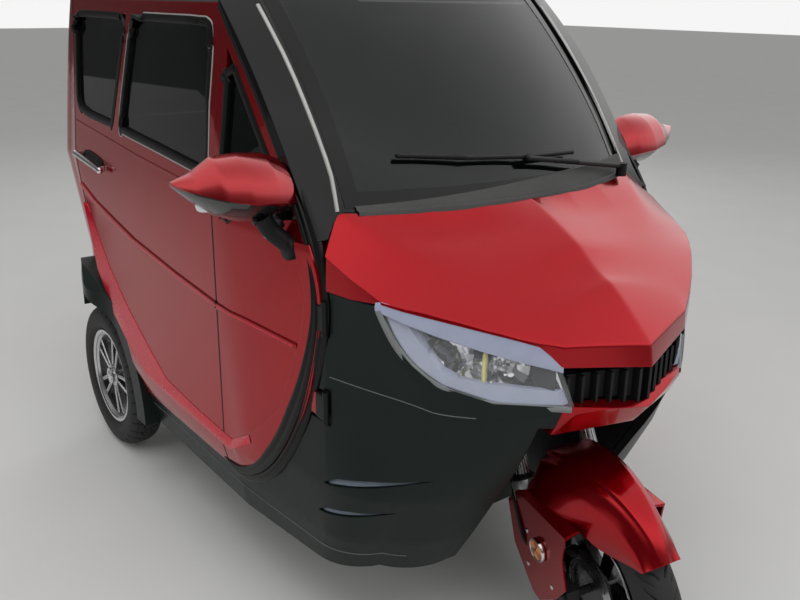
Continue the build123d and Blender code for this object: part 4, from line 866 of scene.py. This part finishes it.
# Headlamp: a lighter lip under it, a faceted bowl, a yellow guide and a black inner end. The lip faces one way at its
# outer end and the other at its inner end.
lampLook = {"lip": ((0.667, -0.4645, 0.898), (0.677, -0.4560, 0.868), (0.694, -0.4420, 0.828),
                    (0.717, -0.4180, 0.788), (0.748, -0.3815, 0.750), (0.780, -0.3360, 0.728),
                    (0.811, -0.2925, 0.714), (0.855, -0.2295, 0.708), (0.897, -0.1695, 0.703)),
            "lipFacing": ((0.62, -0.78, 0.08), (0.82, -0.57, 0.05)), "middle": (0.801, -0.296, 0.79),
            "section": ((-0.0015, -0.004), (-0.0015, 0.001), (0.001, 0.0022), (0.0095, 0.0016), (0.0115, -0.002),
                        (0.0115, -0.004)),
            "bowls": (((0.745, -0.352, 0.802), 0.047), ((0.812, -0.262, 0.778), 0.045),
                      ((0.776, -0.318, 0.772), 0.030)),
            "facing": (0.93, -0.36, 0.03), "depth": 0.032, "facets": 16, "rings": 7, "wobble": 0.10,
            "bar": ((0.788, -0.303, 0.782), (0.0035, 0.0060, 0.034), 0.5),
            "inner": ((0.850, -0.2045, 0.760), (0.006, 0.024, 0.040), 0.4, turnAbout("Z", -53.0))}


# Bowl: radius times the ring's share, depth times one less its square, each facet a flat step of the turn
def bowlMesh(centre, radius):
    axis, first, second = squareTo(lampLook["facing"])
    share = np.linspace(0.0, 1.0, lampLook["rings"])[None, :, None]
    turn = circle(lampLook["facets"])
    wobble = 1 + lampLook["wobble"] * np.cos(3 * turn + 9 * share)
    depth = -lampLook["depth"] * (1 - share ** 2) * wobble
    points = np.array(centre) + depth * axis + radius * share * (np.cos(turn) * first + np.sin(turn) * second)
    return gridMesh(points, True)


def headlampParts():
    path = smoothPath(lampLook["lip"])
    outward = np.linspace(*lampLook["lipFacing"], len(path))
    outward /= np.linalg.norm(outward, axis=1)[:, None]
    lip = band(path, outward, lampLook["section"], False, lampLook["middle"])
    addPair("lamp_lip", [lip], "root", "cladding_grey", 60, "bezelGrey")
    addPair("lamp_facets", [bowlMesh(*bowl) for bowl in lampLook["bowls"]], "root", "lamp_chrome", 12)
    addPair("lamp_bar", [pebble(*lampLook["bar"])], "root", "lamp_guide", 60, "barYellow")
    addPair("lamp_inner_end", [pebble(*lampLook["inner"])], "root", "black_plastic", 60, "borderBlack")


headlampParts()
print("lamps made")

# Fork: fluted sleeves on the tubes, pale clamp caps with an ear and its bolt, and a rubber ring
forkLook = {"sleeve": (-0.072, 0.058), "radius": 0.0192, "steps": 84, "rows": 8, "flutes": 12, "flute": 0.0012,
            "fluteShare": 0.55,
            "cap": ((-0.106, 0.0300), (-0.100, 0.0325), (-0.064, 0.0335), (-0.057, 0.0315), (-0.055, 0.024),
                    (-0.106, 0.024)),
            "ear": -0.078, "earBack": 0.036, "earHalf": (0.013, 0.009, 0.012),
            "bolt": (0.006, 0.012, 0.013, 0.006, 0.005, 6),
            "ring": ((-0.055, 0.019), (-0.055, 0.0270), (-0.050, 0.0262), (-0.046, 0.022), (-0.046, 0.019))}


def addFork():
    sleeves, caps, rings, bolts = [], [], [], []
    axis, first, second = squareTo(slope)
    turn = circle(forkLook["steps"])
    height = np.linspace(*forkLook["sleeve"], forkLook["rows"])[None, :, None]
    cut = np.cos(forkLook["flutes"] * turn) > forkLook["fluteShare"]
    flute = forkLook["radius"] - forkLook["flute"] * cut
    for way in (-1, 1):
        foot, ear = (upLeg(up, way * steering["legY"]) for up in (0.0, forkLook["ear"]))
        ear = ear - square * forkLook["earBack"]
        sleeves.append(gridMesh(foot + height * axis + flute * (np.cos(turn) * first + np.sin(turn) * second), True))
        caps += [lathe(foot, slope, forkLook["cap"], 60), pebble(ear, forkLook["earHalf"], 0.5)]
        rings.append(lathe(foot, slope, forkLook["ring"], 60))
        bolts.append(stud(ear, (0, way, 0), *forkLook["bolt"]))
    addSteered("fork_sleeves", sleeves, "steering", "bright_steel", 30)
    addSteered("fork_caps", caps, "steering", "fork_alloy", 40, "castAlloy")
    addSteered("fork_rings", rings, "steering", "black_plastic", 40, "rubber")
    addSteered("fork_cap_bolts", bolts, "steering", "chrome", 40)


addFork()

# Brake caliper on the right leg: a casting with three bosses and bolts (along, up), and the hose up the leg, from its
# foot beside the axle through places (height up the leg, y)
caliperLook = {"centre": (-0.0926, -0.072, -0.0163), "half": (0.031, 0.017, 0.045), "lean": turnAbout("Y", -10.0),
               "bolts": ((0.008, 0.030), (-0.006, -0.028), (-0.018, 0.004)), "out": -0.012,
               "boss": (0.0, 0.009, 0.011, 0.0105, 0.008, 24), "bolt": (0.010, 0.016, 0.017, 0.0055, 0.004, 6),
               "hoseFoot": (-0.105, -0.078, 0.026), "hoseRadius": 0.0045,
               "hose": ((-0.205, -0.128), (-0.150, -0.128), (-0.080, -0.124), (-0.010, -0.116), (0.050, -0.100))}


def addCaliper():
    spot = frontAxle + np.array(caliperLook["centre"])
    places = [spot + np.array((along, caliperLook["out"], up)) for along, up in caliperLook["bolts"]]
    bosses, bolts = ([stud(place, (0, -1, 0), *caliperLook[kind]) for place in places] for kind in ("boss", "bolt"))
    casting = pebble(spot, caliperLook["half"], 0.45, caliperLook["lean"], 36)
    addSteered("caliper_casting", [casting, *bosses], "steering", "fork_alloy", 40, "castAlloy")
    addSteered("caliper_bolts", bolts, "steering", "black_steel", 40)
    line = [frontAxle + np.array(caliperLook["hoseFoot"])] + [upLeg(*place) for place in caliperLook["hose"]]
    hose = tube(smoothPath(line, 0.008), caliperLook["hoseRadius"])
    addSteered("brake_line", [hose], "steering", "black_plastic", 60, "rubber")


addCaliper()

# Reflectors: six wedges of lit and shaded amber (painted light and shade) in a bright ring with a tab, and the
# fender's screws (x, z)
reflectorLook = {"back": 0.066, "up": 0.090, "out": 0.1315, "radius": 0.0245, "wedges": 6,
                 "rows": ((0.0, 0.0035), (0.5, 0.0032), (0.94, 0.0020), (0.96, 0.0)),
                 "ring": ((-0.004, 0.0242), (0.003, 0.0242), (0.004, 0.0258), (0.001, 0.0275), (-0.004, 0.0275)),
                 "tab": (-0.012, -0.003, -0.020), "tabHalf": (0.017, 0.003, 0.013),
                 "screws": ((-0.119, 0.105), (-0.019, 0.021), (-0.119, 0.015)), "screwOut": 0.1245,
                 "screw": (0.0, 0.002, 0.003, 0.0055, 0.004, 16)}


def addReflectors():
    wedges, holder, screws = ([], []), [], []
    share, rise = (column[None, :, None] for column in np.array(reflectorLook["rows"]).T)
    for way in (-1, 1):
        centre = frontAxle + np.array((-reflectorLook["back"], way * reflectorLook["out"], reflectorLook["up"]))
        for count in range(reflectorLook["wedges"]):
            turns = np.radians(np.linspace(60 * count, 60 * count + 60, 7))[:, None, None]
            spin = np.cos(turns) * np.array((1, 0, 0)) + np.sin(turns) * np.array((0, 0, 1))
            points = centre + rise * np.array((0, way, 0)) + share * reflectorLook["radius"] * spin
            wedges[count % 2].append(gridMesh(points))
        tab = centre + np.array(reflectorLook["tab"]) * np.array((1, way, 1))
        holder += [lathe(centre, (0, way, 0), reflectorLook["ring"], 60), pebble(tab, reflectorLook["tabHalf"], 0.4)]
        for x, z in reflectorLook["screws"]:
            spot = frontAxle + np.array((x, way * reflectorLook["screwOut"], z))
            screws.append(stud(spot, (0, way, 0), *reflectorLook["screw"]))
    # Every other wedge is drawn in a darker amber, painted light and shade of the reflector's prisms
    addSteered("reflector_lit_wedges", wedges[0], "steering", "amber_plastic", 20)
    addSteered("reflector_shaded_wedges", wedges[1], "steering", "amber_plastic", 20, "shadedAmber")
    addSteered("reflector_holders", holder, "steering", "chrome", 40)
    addSteered("fender_screws", screws, "steering", "chrome", 40)


addReflectors()
print("front end made")

# Door furniture: a dark cup behind each handle, a black mirror arm with its base and bolt, and the mirror glass
furniture = {"cup": ((-0.662, -0.5445, 0.990), (0.078, 0.0035, 0.024), 0.55, turnAbout("Y", 5.5), 40),
             "armRadius": 0.0192, "neck": ((0.404, -0.566, 1.040), (0.404, -0.548, 1.006), (0.424, -0.508, 0.972)),
             "baseSpot": (0.424, -0.5185, 0.970), "base": (-0.02, 0.006, 0.009, 0.0235, 0.020, 40),
             "boltSpot": (0.404, -0.5715, 1.030), "bolt": (0.006, 0.013, 0.014, 0.007, 0.005, 6),
             "glass": ((0.371, -0.605, 1.093), (0.0016, 0.086, 0.040), 0.3)}


def addFurniture():
    arm = tube(smoothPath(furniture["neck"], 0.004), furniture["armRadius"], 24)
    base, bolt = (stud(furniture[part + "Spot"], (0, -1, 0), *furniture[part]) for part in ("base", "bolt"))
    addPair("handle_cup", [pebble(*furniture["cup"])], "door_", "black_plastic", 60, "rubber")
    addPair("mirror_arm", [arm, base], "door_", "black_plastic", 50)
    addPair("mirror_bolt", [bolt], "door_", "black_steel", 40)
    addPair("mirror_glass", [pebble(*furniture["glass"])], "door_", "chrome", 60)


addFurniture()


# Smooth values between the rows of a table: cubic pieces whose slopes come from the neighbouring rows
def between(rows, at):
    rows = np.array(rows, float)
    keys, values = rows[:, 0], rows[:, 1:]
    slopes = np.gradient(values, keys, axis=0)
    spot = np.clip(np.searchsorted(keys, at) - 1, 0, len(keys) - 2)
    gap = keys[spot + 1] - keys[spot]
    share = np.clip((at - keys[spot]) / gap, 0, 1)[..., None]
    gap = gap[..., None]
    squared, cubed = share ** 2, share ** 3
    return ((2 * cubed - 3 * squared + 1) * values[spot] + (cubed - 2 * squared + share) * gap * slopes[spot]
            + (3 * squared - 2 * cubed) * values[spot + 1] + (cubed - squared) * gap * slopes[spot + 1])


# Bonnet. Stations from the screen forwards: place, ridge height, crease (across, height), shoulder (across, height).
# The height is the lower of two planes each side, their meeting rounded, less a dish before the screen. The rear
# edge and the front edge are seen from above; the foot is where the front edge comes down.
bonnetLook = {
    "stations": ((0.440, 1.1085, 0.450, 1.0700, 0.530, 1.0150), (0.560, 1.0540, 0.393, 1.0060, 0.495, 0.9600),
                 (0.669, 1.0030, 0.328, 0.9480, 0.463, 0.9120), (0.760, 0.9530, 0.268, 0.9020, 0.366, 0.8860),
                 (0.846, 0.8940, 0.214, 0.8520, 0.245, 0.8430), (0.938, 0.8120, 0.160, 0.7900, 0.190, 0.7700)),
    "round": 0.0022, "ridgeRound": 0.005, "dish": 0.007, "dishFrom": 0.54, "dishEnd": 0.80,
    "lip": 1.0425, "lipWidth": 0.075, "lipEnd": 0.445, "lipFade": 0.02,
    "rear": ((0.530, 0.4985), (0.512, 0.478), (0.490, 0.450), (0.4835, 0.436), (0.4975, 0.400), (0.5095, 0.372),
             (0.522, 0.340), (0.550, 0.250), (0.574, 0.125), (0.582, 0.0)),
    "edge": ((0.534, 0.4985), (0.600, 0.484), (0.669, 0.4625), (0.700, 0.434), (0.745, 0.384), (0.800, 0.313),
             (0.835, 0.262), (0.858, 0.226), (0.869, 0.2065), (0.8815, 0.1875), (0.912, 0.090), (0.9385, 0.0)),
    "foot": ((0.534, 0.5005, 0.9055), (0.600, 0.487, 0.9045), (0.669, 0.4635, 0.9085), (0.700, 0.4355, 0.8980),
             (0.745, 0.386, 0.8830), (0.800, 0.315, 0.8605), (0.835, 0.264, 0.8440), (0.858, 0.228, 0.8310),
             (0.870, 0.208, 0.8110), (0.8830, 0.1885, 0.7870), (0.9165, 0.090, 0.7765), (0.9475, 0.0, 0.7665)),
    "rows": 90, "columns": 220, "drop": 10, "under": (0.012, 0, 0), "back": (0, 0, 0.014), "gap": 0.0005,
}


def bonnetHeight(x, y):
    ridge, creaseY, creaseZ, shoulderY, shoulderZ = np.moveaxis(between(bonnetLook["stations"], x), -1, 0)
    out = np.sqrt(y ** 2 + bonnetLook["ridgeRound"] ** 2)
    inner = ridge + (creaseZ - ridge) * out / creaseY
    outer = creaseZ + (shoulderZ - creaseZ) * (out - creaseY) / (shoulderY - creaseY)
    soft = bonnetLook["round"]
    height = ridge - soft * np.log(np.exp((ridge - inner) / soft) + np.exp((ridge - outer) / soft))
    fade = np.clip((bonnetLook["dishEnd"] - x) / (bonnetLook["dishEnd"] - bonnetLook["dishFrom"]), 0, 1) ** 1.5
    return height - bonnetLook["dish"] * fade * np.sin(math.pi * np.clip(out / creaseY, 0, 1)) ** 2


# Both halves of a line across the vehicle, from its left half
def bothHalves(line):
    return np.vstack([line * np.array((1, -1, 1))[:line.shape[1]], line[-2::-1]])


def addBonnet():
    half = bonnetLook["columns"] // 2
    rear, edge, foot = (bothHalves(evenly(bonnetLook[key], half, 2)) for key in ("rear", "edge", "foot"))
    share = np.linspace(0, 1, bonnetLook["rows"])[:, None, None]
    plan = rear[None] * (1 - share) + edge[None] * share
    height = bonnetHeight(plan[..., 0], plan[..., 1])
    # The rear edge is lifted to the foot of the glass, and the lift dies away forwards.
    beside = np.clip((bonnetLook["lipEnd"] - np.abs(rear[:, 1])) / bonnetLook["lipFade"], 0, 1)
    lift = np.clip(bonnetLook["lip"] - height[0], 0, 1) * beside
    away = np.linalg.norm(plan - rear[None], axis=-1) / bonnetLook["lipWidth"]
    height = height + lift[None] * np.clip(1 - away, 0, 1) ** 2
    top = np.concatenate([plan, height[..., None]], -1)
    border = top[-1]
    drop = np.linspace(0, 1, bonnetLook["drop"])[1:, None, None]
    foot[:, 2] = np.minimum(foot[:, 2], border[:, 2] - bonnetLook["gap"])
    front = border[None] * (1 - drop) + foot[None] * drop
    under = foot[None] - np.array(bonnetLook["under"])
    back = top[:1] - np.array(bonnetLook["back"])
    panel = gridMesh(np.concatenate([back, top, front, under]))
    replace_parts(addPiece("bonnet_panel", [panel], "root", "candy_red", 50), "bonnet")


addBonnet()

# Pale frame above each headlamp lens, up to the bonnet; a row is a place on the lens and the bonnet's height over it.
# Each line of the frame adds a height, a share of the lift and a share of the way out.
lampTop = ((0.660, 0.4715, 0.9060, 0.001), (0.669, 0.4635, 0.9015, 0.008), (0.700, 0.4355, 0.8850, 0.014),
           (0.745, 0.3860, 0.8605, 0.0235), (0.800, 0.3150, 0.8310, 0.0305), (0.835, 0.2640, 0.8125, 0.0325),
           (0.858, 0.2280, 0.8005, 0.0315), (0.870, 0.2080, 0.7940, 0.018), (0.884, 0.1870, 0.7865, 0.001))
lampTopOut = (0.0020, 0.0026, 0)
lampTopLines = ((-0.010, 0, -0.004), (-0.010, 0, 0.25), (0, 0, 0.25), (0, 1, -0.2), (0.004, 1, -0.6), (0.004, 1, -6))


def addLampTops():
    table = evenly(lampTop, 60, 2)
    out, up = np.array(lampTopOut), np.array((0, 0, 1))
    rows = [table[:, :3] + (high + share * table[:, 3:]) * up + away * out for high, share, away in lampTopLines]
    addPair("lamp_top", [gridMesh(np.stack(rows) * np.array((1, -1, 1)))], "root", "lamp_guide", 40)


addLampTops()

# Cowl strip between the glass and the bonnet: it grows from a low foot on one side to its full height on the other.
# Its rows are places ahead of the glass and up; the last two climb back along the glass.
cowlLook = {"from": -0.40, "to": 0.428, "low": 0.004, "height": 0.030, "foot": 1.040, "glassX": 0.4795,
            "bulge": 0.0925, "halfGlass": 0.427, "glassLean": 0.497, "growth": (0.35, 0.9), "columns": 90,
            "rows": ((0.016, -0.010, 0), (0.014, 0.004, 0), (0.0125, 0.0065, 0), (0.005, 0.0075, 0),
                     (0.004, 0.0085, 1), (-0.003, 0.0095, 1))}


def addCowl():
    y = np.linspace(cowlLook["from"], cowlLook["to"], cowlLook["columns"])
    share = (y - cowlLook["from"]) / (cowlLook["to"] - cowlLook["from"])
    middle, width = cowlLook["growth"]
    rise = cowlLook["low"] + cowlLook["height"] * softStep(share - middle, width)
    glassX = cowlLook["glassX"] + cowlLook["bulge"] * (1 - (y / cowlLook["halfGlass"]) ** 2)
    lean, foot = cowlLook["glassLean"], cowlLook["foot"]
    rows = [np.stack([glassX + ahead - climb * lean * rise, y, foot + up + climb * rise], -1)
            for ahead, up, climb in cowlLook["rows"]]
    trim = addPiece("cowl_strip", [gridMesh(np.stack(rows))], "root", "cladding_grey", 40, "cowlGrey")
    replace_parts(trim, "cowl_trim")


addCowl()

# Creases that run over the cladding, each with its half width and the way it faces, in a lighter grey that is a
# painted highlight, and the blades in its vents, whose pale blue is a painted reflection. Every blade is the same line
# under a place and a scale.
creases = {"upper": (((0.544, -0.5015, 0.724), (0.630, -0.478, 0.7165), (0.714, -0.4275, 0.706),
                      (0.752, -0.379, 0.690), (0.790, -0.322, 0.683)), 0.0016, (0.72, -0.69, 0.0)),
           "sill": (((-0.420, -0.5215, 0.300), (-0.100, -0.5230, 0.300), (0.100, -0.5220, 0.297),
                     (0.255, -0.5110, 0.290), (0.440, -0.4850, 0.286), (0.505, -0.4560, 0.285),
                     (0.560, -0.4080, 0.284), (0.610, -0.3330, 0.283)), 0.0018, (0.3, -0.95, 0.0))}
ventBlades = ((0.521, 0.475, 1.0), (0.486, 0.389, 0.84))
bladeLine = ((0.006, 0.003), (0.034, 0.0125), (0.072, 0.0205), (0.112, 0.0295), (0.160, 0.040), (0.196, 0.0485))
bladeWide, bladeStart, bladeBelly = 0.0085, 0.06, 0.6
bladeSection = ((-1, -0.003), (-0.6, 0.001), (0.7, 0.003), (1, -0.001))


def claddingLines():
    skin = Skin("front_cladding_right", "side_cladding_right")
    for name, (chain, half, facing) in creases.items():
        direction = -np.array(facing) / np.linalg.norm(facing)
        path, outward = skin.drop(smoothPath(chain, 0.01) - outside["near"] * direction, direction)
        crease = band(path, outward, lineSection(half, 0.0012, 0.4))
        # The crease strips are drawn lighter than the cladding, a painted highlight
        addPair(name + "_crease", [crease], "root", "cladding_grey", 60, "creasePaintedHighlight")
    blades = []
    for x, z, scale in ventBlades:
        path, outward = onRightSide(skin, np.array((x, z)) + scale * np.array(bladeLine), False, 0.006, 1)
        share = np.linspace(bladeStart, 1, len(path))[:, None, None]
        width = bladeWide * scale * np.sin(math.pi * share ** bladeBelly)
        side = np.cross(tangents(path), outward)
        section = np.array(bladeSection)[None]
        points = path[:, None] + section[..., 0:1] * width * side[:, None] + section[..., 1:2] * outward[:, None]
        blades.append(gridMesh(points, False, True))
    # The blades are drawn pale blue, a painted reflection of the sky
    addPair("vent_blades", blades, "root", "cladding_grey", 60, "ventPaintedReflection")


claddingLines()

# Fender crown over the plain one, from sections round the axle: degrees above forward, radius on the middle line,
# half width and height of the spine, shoulder (across, radius), lower edge (across, radius), in millimetres.
crownLook = {"sections": ((43.0, 271, 10, 1, 42, 260, 42.5, 252), (52.0, 284, 14, 2, 50, 242, 51, 210),
                          (66.0, 292, 24, 5, 62, 206, 63, 176), (80.0, 295, 34, 8, 77, 197, 78, 180),
                          (99.0, 301, 44, 10, 95, 195, 97, 183), (116.0, 312, 50, 10, 106, 214, 107, 203),
                          (140.0, 318, 54, 10, 112, 250, 113, 240)), "lift": 1.6, "rows": 110, "limit": (43.0, 119.0),
             "thick": 0.002, "hip": (0.30, 6), "waist": (0.72, 0.55), "cut": 0.2}


# Each section: the top, the spine's edge and foot, a hip, a waist, the shoulder and the lower edge, all lifted off
# the plain fender; its corners are cut twice at a fifth.
def crownRings(angles):
    top, spineY, spineH, shoulderY, shoulderR, lowY, lowR = np.moveaxis(between(crownLook["sections"], angles), -1, 0)
    (hip, hipDrop), (waist, waistRise), lift, cut = (crownLook[key] for key in ("hip", "waist", "lift", "cut"))
    hipY, hipR = spineY + hip * (shoulderY - spineY), top - spineH - hipDrop
    waistY, waistR = spineY + waist * (shoulderY - spineY), shoulderR + waistRise * (hipR - shoulderR)
    flat = [(0 * top, top + lift), (0.7 * spineY, top - 0.9 + lift), (spineY, top - 1.6 + lift),
            (spineY + 3.5, top - 2 - spineH + lift), (hipY + 3, hipR - 1 + lift), (waistY + 4 + lift, waistR + lift),
            (shoulderY + lift, shoulderR + lift), (lowY + lift, lowR - 1)]
    half = np.stack([np.stack(pair, -1) for pair in flat], 1)
    ring = np.concatenate([half[:, ::-1] * np.array((-1, 1)), half[:, 1:]], 1)
    for count in range(2):
        behind, ahead = ring[:, :-1], ring[:, 1:]
        pairs = [(1 - cut) * behind + cut * ahead, cut * behind + (1 - cut) * ahead]
        ring = np.concatenate([ring[:, :1], np.stack(pairs, 2).reshape(len(ring), -1, 2)[:, 1:-1], ring[:, -1:]], 1)
    return ring / 1000


def addCrown():
    angles = np.linspace(*crownLook["limit"], crownLook["rows"])
    rings = crownRings(angles)
    turn = np.radians(angles)[:, None]
    ahead = np.stack([np.cos(turn), 0 * turn, np.sin(turn)], -1)
    across = np.stack([0 * rings[..., 0], rings[..., 0], 0 * rings[..., 0]], -1)
    points = frontAxle * np.array((1, 0, 1)) + rings[..., 1:] * ahead + across
    inside = points - crownLook["thick"] * ahead
    shell = np.concatenate([inside[:1], points, inside[-1:]])
    addSteered("fender_crown", [gridMesh(shell)], "steering", "candy_red", 50)


addCrown()

# Seats: quilted cushions on the plain seats; a dent runs down each side
seatLook = {"driverSeat": ((-0.255, 0.0, 0.655), (0.135, 0.235, 0.030)),
            "driverBack": ((-0.365, 0.0, 0.840), (0.032, 0.205, 0.165)),
            "benchSeat": ((-0.690, 0.0, 0.668), (0.130, 0.375, 0.028)),
            "benchBack": ((-0.795, 0.0, 0.840), (0.030, 0.355, 0.150))}
dentLook = {"deep": 0.006, "place": 0.62, "wide": 0.05}


def addSeats():
    for name, (centre, half) in seatLook.items():
        points, corners = pebble(centre, half, 0.32, None, 96)
        across = np.abs((points[:, 1] - centre[1]) / half[1])
        dent = dentLook["deep"] * softStep(dentLook["wide"] - np.abs(across - dentLook["place"]), dentLook["wide"])
        inward = (0, 0, -1) if "Seat" in name else (-1, 0, 0)
        addPiece(name + "Cushion", [(points + dent[:, None] * np.array(inward), corners)], "root", "seat_leather", 60)


addSeats()
print("cabin dressed")

# Back: frames and ribs of the tail lamps, the lid's handle and a blank plate on its holder
rearLook = {"lamp": ((-0.404, 0.808), (-0.488, 0.808), (-0.488, 0.992), (-0.404, 0.992)), "ribs": (0.868, 0.934),
            "ribY": (-0.408, -0.446, -0.484), "ribDip": (0, 0.003, 0),
            "frameStrip": (-0.0045, 0.0045, 0.0028, 0.003), "ribStrip": (-0.0022, 0.0022, 0.0022, 0.003),
            "handle": ((-1.1345, 0.0, 0.700), (0.0075, 0.070, 0.0105), 0.5),
            "holder": ((-1.1215, 0.0, 0.428), (0.006, 0.140, 0.066), 0.12),
            "plate": ((-1.1265, 0.0, 0.428), (0.003, 0.132, 0.058), 0.12)}


def addRearTrim():
    skin = Skin("tail_lamp_right", "rear_body")
    path, outward = skin.land(smoothPath(rearLook["lamp"], closed=True), 0, outside["back"])
    frames = [band(path, outward, strip(*rearLook["frameStrip"]), True)]
    for z in rearLook["ribs"]:
        rib = [(y, z - dip) for y, dip in zip(rearLook["ribY"], rearLook["ribDip"])]
        path, outward = skin.land(smoothPath(rib), 0, outside["back"])
        frames.append(band(path, outward, strip(*rearLook["ribStrip"])))
    addPair("tail_lamp_frame", frames, "root", "black_gloss", 50)
    addPiece("lid_handle", [pebble(*rearLook["handle"])], "boot", "chrome", 60)
    addPiece("plate_holder", [pebble(*rearLook["holder"])], "root", "black_plastic", 50)
    addPiece("blank_plate", [pebble(*rearLook["plate"])], "root", "machined_alloy", 50, "plateWhite")


addRearTrim()
print("back made")

# Floor, lamps, world and camera
studio = {"floor": (0.62, 0.62, 0.60), "floorLight": 0.66, "backdrop": 0.92, "floorSize": 40.0}


def addToScene(thing):
    bpy.context.scene.collection.objects.link(thing)
    return thing


def addFloor():
    across = np.linspace(-studio["floorSize"], studio["floorSize"], 3)
    x, y = np.meshgrid(across, across, indexing="ij")
    points, corners = gridMesh(np.stack([x, y, np.zeros_like(x)], -1))
    mesh = bpy.data.meshes.new("floor")
    mesh.from_pydata(points.tolist(), [], corners.tolist())
    ground = Finish("paleFloor", Roughness=0.9)
    ground.feed("Base Color", ground.blend(ground.noise(3.0), solid(studio["floor"]), grey(studio["floorLight"])))
    mesh.materials.append(ground.material)
    addToScene(bpy.data.objects.new("floor", mesh))


# Name, place it shines from, size and power. All aim at one point, and none shows in gloss.
lamps = (("keySoftbox", (1.8, -1.2, 5.0), (5.0, 4.0), 150.0), ("sideSoftbox", (-0.6, -5.2, 3.0), (6.0, 2.4), 45.0),
         ("frontSoftbox", (5.4, -0.6, 2.6), (3.0, 2.2), 35.0), ("rearSoftbox", (-4.4, 3.4, 3.4), (3.0, 3.0), 50.0))
lampAim = Vector((0, 0, 0.7))


def addLamps():
    for name, place, size, power in lamps:
        light = bpy.data.lights.new(name, "AREA")
        light.shape = "RECTANGLE"
        light.size, light.size_y = size
        light.energy = power
        lamp = addToScene(bpy.data.objects.new(name, light))
        lamp.location = place
        lamp.rotation_euler = (lampAim - Vector(place)).to_track_quat("-Z", "Y").to_euler()
        lamp.visible_glossy = False


# The room that gloss shows is bright overhead and to one side, and darker low down; the camera sees a plain backdrop.
room = {"soft": 0.8, "light": 0.50, "up": (0.05, 0.42, 0.90),
        "stops": ((0.0, 0.08), (0.48, 0.08), (0.58, 0.16), (0.70, 0.40), (0.78, 1.15), (0.90, 1.35), (1.0, 0.9))}


def addWorld():
    world = bpy.data.worlds.new("paleRoom")
    nodes = Nodes(world)
    place = nodes.node("ShaderNodeTexCoord", {}, {}, "Generated")
    upward = nodes.node("ShaderNodeVectorMath", {"operation": "DOT_PRODUCT"}, {0: place, 1: room["up"]}, "Value")
    stops = [(at, grey(level)) for at, level in room["stops"]]
    fade = nodes.node("ShaderNodeValToRGB", {"stops": stops}, {0: upward * 0.5 + 0.5}, "Color")
    soft = nodes.node("ShaderNodeBackground", {}, {"Color": grey(room["soft"]), "Strength": room["light"]})
    shown = nodes.node("ShaderNodeBackground", {}, {"Color": fade})
    seen = nodes.node("ShaderNodeBackground", {}, {"Color": grey(studio["backdrop"])})
    glossy, camera = (nodes.node("ShaderNodeLightPath", {}, {}, ray) for ray in ("Is Glossy Ray", "Is Camera Ray"))
    gloss = nodes.node("ShaderNodeMixShader", {}, {0: glossy, 1: soft, 2: shown})
    nodes.give(nodes.tree.nodes["World Output"].inputs[0],
               nodes.node("ShaderNodeMixShader", {}, {0: camera, 1: gloss, 2: seen}))
    bpy.context.scene.world = world


# Place in metres, turns in radians, focal length and width of the picture in its own pixels
view = {"place": (1.939756, -1.378399, 1.453585), "yaw": 2.495, "pitch": -0.329, "roll": 0.013,
        "focal": 885.178, "imageWidth": 800.0, "sensor": 36.0}


def addCamera():
    yaw, pitch, roll = view["yaw"], view["pitch"], view["roll"]
    ahead = Vector((math.cos(pitch) * math.cos(yaw), math.cos(pitch) * math.sin(yaw), math.sin(pitch)))
    right = ahead.cross(Vector((0, 0, 1))).normalized()
    above = right.cross(ahead)
    turnedRight = math.cos(roll) * right + math.sin(roll) * above
    turnedUp = math.cos(roll) * above - math.sin(roll) * right
    lens = bpy.data.cameras.new("camera")
    lens.sensor_width = view["sensor"]
    lens.lens = view["focal"] / view["imageWidth"] * view["sensor"]
    lens.clip_start = 0.05
    camera = addToScene(bpy.data.objects.new("camera", lens))
    axes = Matrix((turnedRight, turnedUp, -ahead)).transposed().to_4x4()
    camera.matrix_world = Matrix.Translation(view["place"]) @ axes
    bpy.context.scene.camera = camera


addFloor()
addLamps()
addWorld()
addCamera()
bpy.context.scene.view_settings.view_transform = "Standard"
print("studio built")
